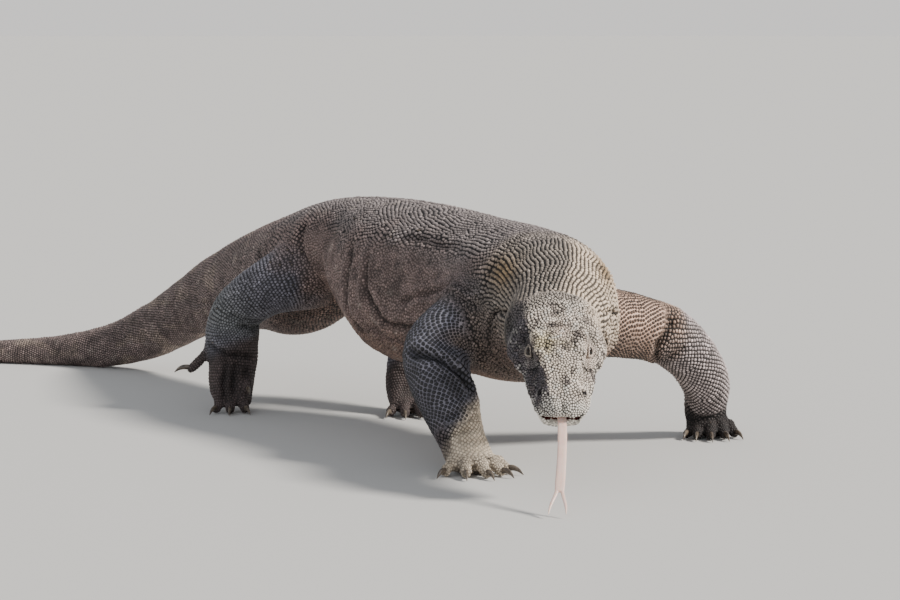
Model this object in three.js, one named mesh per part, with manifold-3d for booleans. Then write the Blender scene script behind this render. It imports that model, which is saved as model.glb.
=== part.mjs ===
// A Komodo dragon at life size, as a still museum model. It walks with its head low, turned to its
// right, and with its forked tongue out. Millimetres, +Z up, on the floor at z = 0. The head lies
// towards -Y, the tail towards +Y, and the animal's right side towards -X.

import * as THREE from "three";
import { mergeVertices } from "three/addons/utils/BufferGeometryUtils.js";
import Module from "manifold-3d";

const manifold = await Module();
manifold.setup();

// ---------------------------------------------------------------- driving dimensions

const GAP = 0.3; // air left between two pieces that touch
const CENTRE = { x: 224, y: 935 }; // middle of the animal's plan, which becomes the origin

// The spine from nape to tail tip. A section stands upright across each station, like a frame in
// a boat: plan place, height of the back, height of the belly, half width, where between belly and
// back it is widest, and how much it narrows to a keel below that.
const SPINE = [
  { x: 108, y: -112, back: 280, belly: 180, half: 57, widest: 0.5 }, // nape, inside the head
  { x: 140, y: -72, back: 312, belly: 162, half: 68, widest: 0.5 },
  { x: 189, y: -20, back: 342, belly: 148, half: 84, widest: 0.5 }, // neck
  { x: 245, y: 78, back: 368, belly: 133, half: 112, widest: 0.5 },
  { x: 277, y: 200, back: 381, belly: 121, half: 128, widest: 0.46 }, // shoulders
  { x: 286, y: 328, back: 389, belly: 118, half: 134, widest: 0.42 },
  { x: 290, y: 444, back: 398, belly: 116, half: 146, widest: 0.42 }, // ribs
  { x: 296, y: 558, back: 403, belly: 117, half: 148, widest: 0.43, keel: 0.1 },
  { x: 300, y: 650, back: 404, belly: 124, half: 131, widest: 0.47, keel: 0.4 }, // belly
  { x: 303, y: 715, back: 403, belly: 150, half: 105, widest: 0.52, keel: 0.5 },
  { x: 305, y: 778, back: 400, belly: 204, half: 96, widest: 0.5, keel: 0.4 },
  { x: 307, y: 835, back: 395, belly: 226, half: 94, widest: 0.48, keel: 0.1 }, // groin
  { x: 309, y: 905, back: 384, belly: 163, half: 100, widest: 0.46 }, // hips
  { x: 313, y: 1013, back: 358, belly: 123, half: 90, widest: 0.46 }, // vent
  { x: 319, y: 1138, back: 328, belly: 122, half: 74, widest: 0.46 },
  { x: 321, y: 1269, back: 289, belly: 113, half: 62, widest: 0.46 },
  { x: 310, y: 1396, back: 237, belly: 87, half: 51, widest: 0.46 },
  { x: 281, y: 1534, back: 160, belly: 35, half: 42, widest: 0.46 },
  { x: 232, y: 1661, back: 95, belly: 3, half: 35, widest: 0.44 }, // tail meets the floor
  { x: 162, y: 1773, back: 62, belly: -1, half: 29, widest: 0.42 },
  { x: 74, y: 1877, back: 48, belly: -1, half: 24, widest: 0.42 },
  { x: -21, y: 1969, back: 38, belly: -1, half: 19, widest: 0.42 },
  { x: -116, y: 2061, back: 29, belly: -1, half: 14, widest: 0.42 },
  { x: -198, y: 2156, back: 20, belly: -1, half: 9, widest: 0.42 },
  { x: -243, y: 2240, back: 10, belly: 1, half: 3.5, widest: 0.45 }, // tip
];

// Lengths of the body, from one place on the spine, counted in stations, to another, with the
// number of sections lofted in each.
const BODY_LENGTHS = {
  neck: { from: 0, to: 3.1, sections: 7 },
  chest: { from: 3.1, to: 5.5, sections: 6 },
  belly: { from: 5.5, to: 10.5, sections: 10 },
  hips: { from: 10.5, to: 13, sections: 6 },
  tail_base: { from: 13, to: 15.6, sections: 5 },
  tail_middle: { from: 15.6, to: 18.4, sections: 6 },
  tail_end: { from: 18.4, to: 21.4, sections: 6 },
  tail_tip: { from: 21.4, to: 24, sections: 5 },
};
const BODY_SIDES = 20;

// The head is made level, facing +Y, with the mouth line at z = 0 and the nape at y = 0, and is
// then pitched down and turned. Stations run from the nape to the snout tip.
const HEAD = { nape: [119, -116, 251], pitch: 36, turn: 148.4 };
const SKULL = [
  { y: -22, half: 55, crown: 44, base: -40 },
  { y: 8, half: 66, crown: 53, base: -43 },
  { y: 42, half: 71, crown: 57, base: -40 }, // jowls
  { y: 68, half: 68, crown: 58, base: -22 },
  { y: 95, half: 61, crown: 58, base: -3 }, // eyes
  { y: 125, half: 52, crown: 52, base: 0 },
  { y: 158, half: 46, crown: 43, base: 0 },
  { y: 188, half: 43, crown: 36, base: 0 },
  { y: 203, half: 37, crown: 29, base: 1 }, // nostrils
  { y: 211, half: 24, crown: 20, base: 5 },
];
const JAW = [
  { y: 22, half: 59, crown: -12, base: -44 },
  { y: 62, half: 58, crown: -1, base: -38 },
  { y: 105, half: 52, crown: -1, base: -31 },
  { y: 150, half: 43, crown: -1, base: -25 },
  { y: 183, half: 38, crown: -1, base: -21 },
  { y: 199, half: 31, crown: -2, base: -17 },
  { y: 206, half: 18, crown: -5, base: -12 },
];
const SKULL_LOFT = { sections: 11, sides: 20 };
const JAW_LOFT = { sections: 7, sides: 16 };
const JAW_DROP = 5; // degrees that the mouth is open
const JAW_JOINT = { y: 30, z: -6 };
const SKULL_FULL = 2.6; // flat crown: 2 is a plain ellipse
const SKULL_TAPER = 0.24; // how much narrower the crown is than the jowls
const BROW = { y: 98, spread: 20, angle: 52, width: 15, rise: 5 };
const LORE = { y: 150, spread: 22, angle: 30, width: 16, rise: -3.5 }; // hollow before the eye
const EYE = { radius: 9, side: 41.5, y: 97, z: 34, around: 10, rings: 6 };

// The tongue, in the head's own frame: it leaves the lips straight on and droops a little.
const TONGUE = { half: 7, thick: 5, root: 112, lips: 214, fork: 338, tip: 386, spread: 13, sway: 15, droop: 17 };

// Limbs, from inside the body down to the knuckles. up is the depth in front of the middle, down
// the depth behind it, which become the top and the sole of the hand or foot.
const LIMBS = {
  arm_right: {
    stations: [
      { x: 228, y: 182, z: 222, half: 48, up: 50, down: 50 },
      { x: 172, y: 194, z: 216, half: 54, up: 54, down: 54 },
      { x: 124, y: 200, z: 205, half: 54, up: 54, down: 54 },
      { x: 91, y: 185, z: 177, half: 53, up: 53, down: 50 }, // elbow
      { x: 80, y: 150, z: 134, half: 50, up: 48, down: 49 },
      { x: 82, y: 115, z: 84, half: 44, up: 42, down: 42 },
      { x: 85, y: 91, z: 46, half: 40, up: 34, down: 34 }, // wrist
      { x: 81, y: 66, z: 22, half: 44, up: 24, down: 24 },
      { x: 77, y: 40, z: 12, half: 42, up: 14, down: 14 }, // knuckles
    ],
    parts: { upper_arm_right: [0, 3.2], forearm_right: [3.2, 6.2], hand_right: [6.2, 8] },
    heading: -103,
    toes: "front",
  },
  arm_left: {
    stations: [
      { x: 340, y: 216, z: 232, half: 52, up: 55, down: 52 },
      { x: 414, y: 196, z: 215, half: 60, up: 58, down: 55 },
      { x: 480, y: 178, z: 204, half: 57, up: 55, down: 52 },
      { x: 548, y: 164, z: 185, half: 51, up: 50, down: 48 }, // elbow
      { x: 602, y: 160, z: 143, half: 45, up: 46, down: 44 },
      { x: 638, y: 168, z: 94, half: 41, up: 42, down: 40 },
      { x: 655, y: 189, z: 50, half: 38, up: 36, down: 34 }, // wrist
      { x: 656, y: 188, z: 23, half: 40, up: 25, down: 25 },
      { x: 649, y: 171, z: 12, half: 39, up: 14, down: 14 }, // knuckles
    ],
    parts: { upper_arm_left: [0, 3.2], forearm_left: [3.2, 6.2], hand_left: [6.2, 8] },
    heading: -122,
    spread: 0.5,
    toes: "front",
  },
  leg_right: {
    stations: [
      { x: 264, y: 852, z: 264, half: 62, up: 60, down: 60 },
      { x: 206, y: 868, z: 247, half: 60, up: 56, down: 56 },
      { x: 164, y: 894, z: 223, half: 52, up: 47, down: 49 },
      { x: 133, y: 925, z: 187, half: 48, up: 43, down: 46 }, // knee
      { x: 124, y: 935, z: 146, half: 51, up: 48, down: 48 }, // ankle
      { x: 121, y: 929, z: 98, half: 48, up: 38, down: 42 },
      { x: 113, y: 920, z: 50, half: 44, up: 28, down: 32 },
      { x: 107, y: 908, z: 17, half: 39, up: 18, down: 19 }, // ball of the foot
    ],
    parts: { thigh_right: [0, 3], shin_right: [3, 4.2], foot_right: [4.2, 7] },
    heading: -122,
    toes: "hindLifted",
  },
  leg_left: {
    stations: [
      { x: 360, y: 905, z: 262, half: 56, up: 58, down: 58 },
      { x: 405, y: 866, z: 242, half: 56, up: 58, down: 56 },
      { x: 428, y: 814, z: 208, half: 54, up: 55, down: 54 },
      { x: 424, y: 772, z: 168, half: 50, up: 50, down: 48 }, // knee
      { x: 406, y: 750, z: 122, half: 44, up: 42, down: 44 },
      { x: 386, y: 740, z: 76, half: 40, up: 34, down: 36 }, // ankle
      { x: 374, y: 724, z: 38, half: 40, up: 26, down: 28 },
      { x: 368, y: 698, z: 12, half: 40, up: 16, down: 18 }, // ball of the foot
    ],
    parts: { thigh_left: [0, 3], shin_left: [3, 5], foot_left: [5, 7] },
    heading: -104,
    toes: "hind",
  },
};
const LIMB_LOFT = { sides: 12, sectionsPerStation: 1.7 };

// Toes, inner to outer, seen from above on a right foot: turn away from the foot's heading, how
// far to the inner side and to the back of the knuckles the toe starts, length, and the heights
// of its root and tip above the floor.
const TOES = {
  front: [
    { turn: 38, inner: 29, back: 14, length: 34, root: 18, tip: 8 },
    { turn: 20, inner: 17, back: 5, length: 42, root: 18, tip: 8 },
    { turn: 2, inner: 0, back: 0, length: 46, root: 18, tip: 8 },
    { turn: -18, inner: -18, back: 5, length: 42, root: 18, tip: 8 },
    { turn: -46, inner: -30, back: 20, length: 38, root: 18, tip: 8 },
  ],
  hind: [
    { turn: 34, inner: 27, back: 10, length: 38, root: 20, tip: 8 },
    { turn: 16, inner: 13, back: 2, length: 48, root: 20, tip: 8 },
    { turn: 0, inner: -3, back: 0, length: 56, root: 20, tip: 8 },
    { turn: -16, inner: -19, back: 2, length: 58, root: 20, tip: 8 },
    { turn: -70, inner: -28, back: 34, length: 50, root: 26, tip: 8 },
  ],
  hindLifted: [
    { turn: 10, inner: 26, back: 10, length: 26, root: 54, tip: 44 },
    { turn: 22, inner: 15, back: 4, length: 30, root: 24, tip: 8 },
    { turn: 0, inner: -2, back: 0, length: 32, root: 24, tip: 8 },
    { turn: -20, inner: -19, back: 4, length: 30, root: 24, tip: 8 },
    { turn: -91, inner: -12, back: 30, length: 70, root: 132, tip: 78 },
  ],
};
const TOE = { thick: 11, arch: 5, sides: 6, sections: 4 };
const CLAW = { length: 30, thick: 5.2, narrow: 0.7, hump: 3.5, drop: 6.5, sides: 5, sections: 3 };

// ---------------------------------------------------------------- shapes

const UP = new THREE.Vector3(0, 0, 1);
const RIGHT = new THREE.Vector3(-1, 0, 0); // the animal's right
const LEFT = new THREE.Vector3(1, 0, 0);

// A smooth curve through the numbers of every station (Catmull-Rom), at place t along them.
function between(stations, t) {
  const last = stations.length - 1;
  const i = Math.min(Math.floor(t), last - 1);
  const u = t - i;
  const near = [i - 1, i, i + 1, i + 2].map((k) => stations[THREE.MathUtils.clamp(k, 0, last)]);
  const result = {};
  for (const key of Object.keys(stations[0])) {
    const [a, b, c, d] = near.map((station) => station[key]);
    const bend = 2 * a - 5 * b + 4 * c - d + (3 * (b - c) + d - a) * u;
    result[key] = b + 0.5 * u * (c - a + u * bend);
  }
  return result;
}

// One point of a section: a superellipse, fuller than an ellipse where full is over 2, narrower
// towards its top by taper and towards its bottom by keel.
function outline(angle, { half, up, down, full = 2.15, taper = 0, keel = 0 }) {
  const power = 2 / full;
  const across = Math.sign(Math.cos(angle)) * Math.abs(Math.cos(angle)) ** power;
  const rise = Math.sign(Math.sin(angle)) * Math.abs(Math.sin(angle)) ** power;
  const narrow = 1 - taper * Math.max(rise, 0) - keel * Math.max(-rise, 0);
  return { across: half * across * narrow, rise: rise * (rise > 0 ? up : down) };
}

// A ring of points across a direction of travel; side is roughly where its first point lies.
function ring(centre, travel, side, shape, sides) {
  const across = side.clone().addScaledVector(travel, -side.dot(travel)).normalize();
  const top = travel.clone().cross(across);
  const points = [];
  for (let k = 0; k < sides; k += 1) {
    const angle = (2 * Math.PI * (k + 0.5)) / sides;
    const point = outline(angle, shape);
    const swell = shape.swell ? shape.swell(angle) : 0;
    point.across += swell * Math.cos(angle);
    point.rise += swell * Math.sin(angle);
    points.push(centre.clone().addScaledVector(across, point.across).addScaledVector(top, point.rise));
  }
  return points;
}

// A closed skin over rings that have the same number of points, with a fan over each end.
function skinOver(rings) {
  const sides = rings[0].length;
  const faces = [];
  for (let start = 0; start < sides * (rings.length - 1); start += sides) {
    for (let k = 0; k < sides; k += 1) {
      const a = start + k;
      const b = start + ((k + 1) % sides);
      faces.push(a, b, a + sides, b, b + sides, a + sides);
    }
  }
  const points = rings.flat();
  const last = points.length - sides;
  for (const [end, start] of [[rings[0], 0], [rings.at(-1), last]]) {
    const sum = end.reduce((total, point) => total.add(point), new THREE.Vector3());
    const middle = points.push(sum.divideScalar(sides)) - 1;
    for (let k = 0; k < sides; k += 1) {
      const pair = [start + k, start + ((k + 1) % sides)];
      faces.push(middle, ...(start === 0 ? pair.reverse() : pair));
    }
  }
  const geometry = new THREE.BufferGeometry().setFromPoints(points);
  geometry.setIndex(faces);
  return geometry;
}

// Part of a loft through stations {x, y, z, half, up, down}, from one place on them to another.
// inset draws its ends in, for a thin cut to the next part; grow makes it larger all round.
function loft(stations, { from = 0, to = stations.length - 1, sections, sides, side, ...more }) {
  const { upright = false, inset = 0, grow = 0, shape = () => ({}) } = more;
  const last = stations.length - 1;
  const place = (t) => {
    const { x, y, z } = between(stations, THREE.MathUtils.clamp(t, 0, last));
    return new THREE.Vector3(x, y, z);
  };
  const rings = [];
  for (let k = 0; k <= sections; k += 1) {
    const t = from + ((to - from) * k) / sections;
    const travel = place(t + 0.02).sub(place(t - 0.02));
    if (upright) {
      travel.z = 0;
    }
    travel.normalize();
    const inwards = { 0: inset - grow, [sections]: grow - inset }[k] ?? 0;
    const centre = place(t).addScaledVector(travel, inwards);
    const station = between(stations, t);
    station.half += grow;
    station.up += grow;
    station.down += grow;
    rings.push(ring(centre, travel, side, { ...station, ...shape(station) }, sides));
  }
  return skinOver(rings);
}

// ---------------------------------------------------------------- joining and cutting

function solid(geometry) {
  const bare = geometry.clone();
  bare.deleteAttribute("normal");
  bare.deleteAttribute("uv");
  const merged = mergeVertices(bare, 1e-4);
  const mesh = new manifold.Mesh({
    numProp: 3,
    vertProperties: new Float32Array(merged.attributes.position.array),
    triVerts: new Uint32Array(merged.index.array),
  });
  return new manifold.Manifold(mesh);
}

function surface(body) {
  const mesh = body.getMesh();
  const geometry = new THREE.BufferGeometry();
  geometry.setAttribute("position", new THREE.BufferAttribute(mesh.vertProperties, 3));
  geometry.setIndex(new THREE.BufferAttribute(mesh.triVerts, 1));
  return geometry;
}

// A block of ground below z = 0, larger than the animal: cutting with it leaves level soles.
const GROUND = { wide: 4000, deep: 400 };
const groundBox = new THREE.BoxGeometry(GROUND.wide, GROUND.wide, GROUND.deep);
const underFloor = solid(groundBox.translate(CENTRE.x, CENTRE.y, -GROUND.deep / 2));

// ---------------------------------------------------------------- body

const spine = SPINE.map(({ x, y, back, belly, half, widest, keel = 0 }) => {
  const z = belly + widest * (back - belly);
  return { x, y, z, half, up: back - z, down: z - belly, keel };
});

function bodyLength(part, grow = 0) {
  const manner = { sides: BODY_SIDES, side: RIGHT, upright: true, inset: GAP / 2, grow };
  return solid(loft(spine, { ...part, ...manner }));
}

// ---------------------------------------------------------------- head

// A soft swelling of the head, centred on one height round its side and one place along it.
function swelling(angle, y, { y: centre, spread, angle: height, width, rise }) {
  const degrees = THREE.MathUtils.radToDeg(Math.atan2(Math.sin(angle), Math.abs(Math.cos(angle))));
  return rise * Math.exp(-(((y - centre) / spread) ** 2) - ((degrees - height) / width) ** 2);
}

const headPlace = new THREE.Matrix4()
  .makeTranslation(...HEAD.nape)
  .multiply(new THREE.Matrix4().makeRotationZ(THREE.MathUtils.degToRad(HEAD.turn)))
  .multiply(new THREE.Matrix4().makeRotationX(THREE.MathUtils.degToRad(-HEAD.pitch)));

const jawPlace = new THREE.Matrix4()
  .makeTranslation(0, JAW_JOINT.y, JAW_JOINT.z)
  .multiply(new THREE.Matrix4().makeRotationX(THREE.MathUtils.degToRad(-JAW_DROP)))
  .multiply(new THREE.Matrix4().makeTranslation(0, -JAW_JOINT.y, -JAW_JOINT.z));

function skull(grow = 0) {
  const stations = SKULL.map(({ y, half, crown, base }) => ({ x: 0, y, z: 0, half, up: crown, down: -base }));
  const shape = ({ y }) => ({
    full: SKULL_FULL,
    taper: SKULL_TAPER,
    swell: (angle) => swelling(angle, y, BROW) + swelling(angle, y, LORE),
  });
  const geometry = loft(stations, { ...SKULL_LOFT, side: RIGHT, grow, shape });
  return solid(geometry.applyMatrix4(headPlace));
}

function lowerJaw() {
  const stations = JAW.map(({ y, half, crown, base }) => {
    return { x: 0, y, z: crown, half, up: 0, down: crown - base };
  });
  const geometry = loft(stations, { ...JAW_LOFT, side: RIGHT });
  return solid(geometry.applyMatrix4(jawPlace).applyMatrix4(headPlace));
}

function eyeball(side, grow = 0) {
  const ball = new THREE.SphereGeometry(EYE.radius + grow, EYE.around, EYE.rings);
  return solid(ball.translate(side * EYE.side, EYE.y, EYE.z).applyMatrix4(headPlace));
}

function tongue() {
  const { half, thick, root, lips, fork, tip, spread, sway, droop } = TONGUE;
  const station = (across, y, width, height) => {
    const out = Math.max((y - lips) / (tip - lips), 0);
    const x = across + sway * out ** 1.5;
    return { x, y, z: -5 - droop * out ** 1.5, half: width, up: height, down: height };
  };
  const blade = [
    station(0, root, half * 0.8, thick * 0.35),
    station(0, lips, half, thick / 2),
    station(0, (lips + fork) / 2, half, thick / 2),
    station(0, fork, half * 1.05, thick / 2),
    station(0, fork + 5, half * 0.6, thick * 0.4),
  ];
  const manner = { sides: 8, side: RIGHT, shape: () => ({ full: 2.5 }) };
  let whole = solid(loft(blade, { ...manner, sections: 6 }));
  for (const side of [-1, 1]) {
    const prong = [
      station(side * half * 0.45, fork - 9, half * 0.42, thick * 0.4),
      station(side * half * 0.7, fork + 9, half * 0.42, thick * 0.4),
      station(side * spread * 0.85, (fork + tip) / 2 + 8, half * 0.3, thick * 0.3),
      station(side * spread, tip, half * 0.12, thick * 0.16),
    ];
    whole = whole.add(solid(loft(prong, { ...manner, sides: 6, sections: 4 })));
  }
  return solid(surface(whole).applyMatrix4(headPlace));
}

// ---------------------------------------------------------------- limbs

function limbPart(stations, [from, to], grow = 0) {
  const { sides, sectionsPerStation } = LIMB_LOFT;
  const sections = Math.round((to - from) * sectionsPerStation);
  return solid(loft(stations, { from, to, sections, sides, side: LEFT, inset: GAP / 2, grow }));
}

// Stations of a toe or claw: each gives how far along the toe, how high and how thick it is.
function digit(start, heading, rows) {
  const travel = new THREE.Vector3(Math.cos(heading), Math.sin(heading), 0);
  const stations = rows.map(([along, height, thick]) => {
    const { x, y } = start.clone().addScaledVector(travel, along);
    return { x, y, z: height, half: thick, up: thick, down: thick };
  });
  return { stations, side: UP.clone().cross(travel) };
}

// One toe of a foot that stands at a place on the floor with a heading, and the claw on it.
function toe(place, heading, mirror, { turn, inner, back, length, root, tip }) {
  const ahead = new THREE.Vector3(Math.cos(heading), Math.sin(heading), 0);
  const inwards = UP.clone().cross(ahead).multiplyScalar(mirror);
  const start = place.clone().addScaledVector(inwards, inner).addScaledVector(ahead, -back);
  const way = heading + THREE.MathUtils.degToRad(turn) * mirror;
  const fall = (root - tip) * 0.5;
  const thick = TOE.thick;
  const bone = digit(start, way, [
    [0, root, thick],
    [length * 0.35, root - fall * 0.5 + TOE.arch, thick],
    [length * 0.7, tip + fall * 0.5 + 2, thick * 0.9],
    [length * 0.95, tip, thick * 0.82],
    [length * 1.03, tip, thick * 0.45],
  ]);
  const horn = digit(start, way, [
    [length * 0.85, tip + 2, CLAW.thick],
    [length + CLAW.length * 0.25, tip + CLAW.hump, CLAW.thick * 0.85],
    [length + CLAW.length * 0.65, tip - 0.5, CLAW.thick * 0.6],
    [length + CLAW.length * 0.9, tip - CLAW.drop, CLAW.thick * 0.12],
  ]);
  const { sides, sections } = TOE;
  const flesh = (grow) => solid(loft(bone.stations, { sides, sections, side: bone.side, grow }));
  const shape = ({ half }) => ({ half: half * CLAW.narrow });
  const claw = solid(loft(horn.stations, { ...CLAW, side: horn.side, shape }));
  return { flesh, claw };
}

// ---------------------------------------------------------------- the whole animal

const dragon = new THREE.Group();
dragon.name = "komodo_dragon";
dragon.position.set(-CENTRE.x, -CENTRE.y, 0);

function add(name, body, colour, roughness = 0.8) {
  const whole = body.subtract(underFloor);
  const pieces = whole.decompose().sort((a, b) => b.volume() - a.volume());
  const material = new THREE.MeshStandardMaterial({ color: colour, roughness, metalness: 0 });
  const mesh = new THREE.Mesh(surface(pieces[0]), material);
  mesh.name = name;
  dragon.add(mesh);
}

const COLOUR = { hide: "#5c5148", limb: "#4a474b", head: "#8f8476", eye: "#2a1a10", horn: "#3c3733" };
const TONGUE_COLOUR = "#d9b7ad";

const lengths = Object.entries(BODY_LENGTHS);
lengths.forEach(([name, part]) => add(name, bodyLength(part), COLOUR.hide));

const neckRoom = bodyLength(BODY_LENGTHS.neck, GAP);
let head = skull().subtract(neckRoom);
for (const [name, side] of [["eye_right", 1], ["eye_left", -1]]) {
  head = head.subtract(eyeball(side, GAP));
  add(name, eyeball(side), COLOUR.eye, 0.15);
}
add("head", head, COLOUR.head);
add("lower_jaw", lowerJaw().subtract(skull(GAP)).subtract(neckRoom), COLOUR.head);
add("tongue", tongue(), TONGUE_COLOUR, 0.4);

for (const [limb, { stations, parts, heading, toes, spread = 1 }] of Object.entries(LIMBS)) {
  const mirror = limb.endsWith("right") ? 1 : -1;
  const [upper, lower, foot] = Object.keys(parts);
  const outside = (body, [, part]) => body.subtract(bodyLength(part, GAP));
  add(upper, lengths.slice(0, 5).reduce(outside, limbPart(stations, parts[upper])), COLOUR.limb);
  add(lower, limbPart(stations, parts[lower]), COLOUR.limb);
  const { x, y } = stations.at(-1);
  const place = new THREE.Vector3(x, y, 0);
  const digits = TOES[toes].map((row) => {
    return toe(place, THREE.MathUtils.degToRad(heading), mirror, { ...row, turn: row.turn * spread });
  });
  const sole = (grow) => {
    const palm = limbPart(stations, parts[foot], grow);
    return digits.reduce((whole, digit) => whole.add(digit.flesh(grow)), palm);
  };
  add(foot, sole(0).subtract(limbPart(stations, parts[lower], GAP)), COLOUR.limb);
  const footRoom = sole(GAP).add(sole(0));
  digits.forEach(({ claw }, k) => {
    add(`claw_${limb}_${k + 1}`, claw.subtract(footRoom), COLOUR.horn, 0.35);
  });
}

export default dragon;
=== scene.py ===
# %% [markdown]
# # A Komodo dragon, dressed like a museum model
# The solids give the animal's true size, outline and pose. This lesson dresses them in four steps:
# one skin melted over all the flesh, folds and creases pressed into it, about fifty thousand
# scales planted in rows, and then the eyes, claws and tongue. Everything is worked out in
# millimetres, because that is how an animal is measured, and turned into metres at the end.

# %% Load the solids
import math

import bmesh
import bpy
import numpy as np
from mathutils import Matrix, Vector
from mathutils.bvhtree import BVHTree
from mathutils.kdtree import KDTree


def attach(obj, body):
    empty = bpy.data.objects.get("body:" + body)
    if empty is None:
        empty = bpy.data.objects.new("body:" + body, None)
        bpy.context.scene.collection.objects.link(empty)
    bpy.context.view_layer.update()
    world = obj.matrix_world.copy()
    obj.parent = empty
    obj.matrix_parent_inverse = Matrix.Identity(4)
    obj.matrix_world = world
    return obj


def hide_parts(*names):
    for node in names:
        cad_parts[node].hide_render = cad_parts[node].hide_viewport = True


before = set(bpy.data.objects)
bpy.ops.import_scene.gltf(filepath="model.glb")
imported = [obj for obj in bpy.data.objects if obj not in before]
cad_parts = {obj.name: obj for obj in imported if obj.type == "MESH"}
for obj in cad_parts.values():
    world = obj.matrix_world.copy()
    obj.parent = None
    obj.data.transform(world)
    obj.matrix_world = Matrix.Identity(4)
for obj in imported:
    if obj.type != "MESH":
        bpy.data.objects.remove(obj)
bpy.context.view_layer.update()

MM = 0.001  # metres in a millimetre
MIDDLE = np.array([224.0, 935.0, 0.0])  # middle of the animal's plan, moved to the origin
rng = np.random.default_rng(12)

# %% [markdown]
# ## The flesh as lofts
# A loft is a row of rings threaded on a curved line, like the frames of a boat. The animal is made
# of a few: the spine from nape to tail tip, four limbs, twenty toes, the skull and the lower jaw.
# A smooth curve through a handful of stations decides each ring's place and size. This is better
# here than sculpting by hand, because every point gets two numbers, how far along it is and how
# far round, and those two numbers later guide the folds, the colours and the rows of scales.


# %% A smooth curve and a length of flesh
def between(rows, t):
    """Catmull-Rom curve through the rows, at places t counted in rows."""
    last = len(rows) - 1
    t = np.clip(t, 0, last)
    i = np.minimum(np.floor(t).astype(int), last - 1)
    u = (t - i)[:, None]
    a, b, c, d = (rows[np.clip(i + k, 0, last)] for k in (-1, 0, 1, 2))
    return b + 0.5 * u * (c - a + u * (2 * a - 5 * b + 4 * c - d + (3 * (b - c) + d - a) * u))


def unit(vectors):
    return vectors / np.maximum(np.linalg.norm(vectors, axis=-1, keepdims=True), 1e-9)


def signed_power(value, power):
    return np.sign(value) * np.abs(value) ** power


def run_along(points):
    """Length travelled from the first point to each of them."""
    return np.concatenate([[0], np.cumsum(np.linalg.norm(np.diff(points, axis=0), axis=1))])


NUDGE = 0.02  # a small step of t, to find a curve's direction


class Flesh:
    """Rings through stations of x, y, z, half width, height up, depth down and keel.
    upright keeps the rings vertical, full squares them off, taper narrows their upper half."""

    def __init__(self, name, rows, side, upright=False, full=2.15, taper=0.0, swell=None,
                 place=None):
        self.name = name
        self.rows = np.array([tuple(row) + (0.0,) * (7 - len(row)) for row in rows], float)
        self.side = np.array(side, float)
        self.upright = upright
        self.power = 2 / full
        self.taper = taper
        self.swell = swell
        self.place = place
        self.last = len(rows) - 1

    def bone(self, t):
        """The station at t, and there the ways along, across and to the top."""
        row = between(self.rows, t)
        travel = between(self.rows, t + NUDGE)[:, :3] - between(self.rows, t - NUDGE)[:, :3]
        if self.upright:
            travel[:, 2] = 0
        travel = unit(travel)
        across = unit(self.side - travel * (travel @ self.side)[:, None])
        return row, travel, across, np.cross(travel, across)

    def point(self, t, angle, grow=0.0):
        """Places on the surface: t along, angle round from the side over the top."""
        row, _, across, top = self.bone(t)
        x = signed_power(np.cos(angle), self.power)
        y = signed_power(np.sin(angle), self.power)
        narrow = 1 - self.taper * np.maximum(y, 0) - row[:, 6] * np.maximum(-y, 0)
        x = (row[:, 3] + grow) * x * narrow
        y = y * (np.where(y > 0, row[:, 4], row[:, 5]) + grow)
        if self.swell:
            rise = self.swell(angle, row[:, 1])
            x, y = x + rise * np.cos(angle), y + rise * np.sin(angle)
        found = row[:, :3] + across * x[:, None] + top * y[:, None]
        return self.place.forth(found) if self.place else found

    def read(self, points, t):
        """The t and angle of places near the surface, from a first guess of t."""
        points = self.place.back(points) if self.place else points
        for _ in range(3):
            row, travel, across, top = self.bone(t)
            move = between(self.rows, t + NUDGE)[:, :3] - between(self.rows, t - NUDGE)[:, :3]
            speed = np.maximum((move * travel).sum(1) / (2 * NUDGE), 1.0)
            t = np.clip(t + 0.8 * ((points - row[:, :3]) * travel).sum(1) / speed, 0, self.last)
        row, travel, across, top = self.bone(t)
        away = points - row[:, :3]
        y = (away * top).sum(1)
        y = np.clip(y / np.maximum(np.where(y > 0, row[:, 4], row[:, 5]), 1.0), -1, 1)
        narrow = 1 - self.taper * np.maximum(y, 0) - row[:, 6] * np.maximum(-y, 0)
        x = np.clip((away * across).sum(1) / np.maximum(row[:, 3] * narrow, 1.0), -1, 1)
        return t, np.arctan2(signed_power(y, 1 / self.power), signed_power(x, 1 / self.power))


# %% [markdown]
# ## The spine
# Each station gives the plan place, the height of the back and of the belly, the half width, where
# between belly and back the body is widest, and how far it narrows to a keel underneath.

# %% Spine, nape to tail tip
SPINE = [
    (108, -112, 280, 180, 57, 0.5, 0), (140, -72, 312, 162, 68, 0.5, 0),
    (189, -20, 342, 148, 84, 0.5, 0), (245, 78, 368, 133, 112, 0.5, 0),
    (277, 200, 381, 121, 128, 0.46, 0), (286, 328, 389, 118, 134, 0.42, 0),
    (290, 444, 398, 116, 146, 0.42, 0), (296, 558, 403, 117, 148, 0.43, 0.1),
    (300, 650, 404, 124, 131, 0.47, 0.4), (303, 715, 403, 150, 105, 0.52, 0.5),
    (305, 778, 400, 204, 96, 0.5, 0.4), (307, 835, 395, 226, 94, 0.48, 0.1),
    (309, 905, 384, 163, 100, 0.46, 0), (313, 1013, 358, 123, 90, 0.46, 0),
    (319, 1138, 328, 122, 74, 0.46, 0), (321, 1269, 289, 113, 62, 0.46, 0),
    (310, 1396, 237, 87, 51, 0.46, 0), (281, 1534, 160, 35, 42, 0.46, 0),
    (232, 1661, 95, 3, 35, 0.44, 0), (162, 1773, 62, -1, 29, 0.42, 0),
    (74, 1877, 48, -1, 24, 0.42, 0), (-21, 1969, 38, -1, 19, 0.42, 0),
    (-116, 2061, 29, -1, 14, 0.42, 0), (-198, 2156, 20, -1, 9, 0.42, 0),
    (-243, 2240, 10, 1, 3.5, 0.45, 0),
]
RIGHT, LEFT = (-1, 0, 0), (1, 0, 0)


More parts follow.
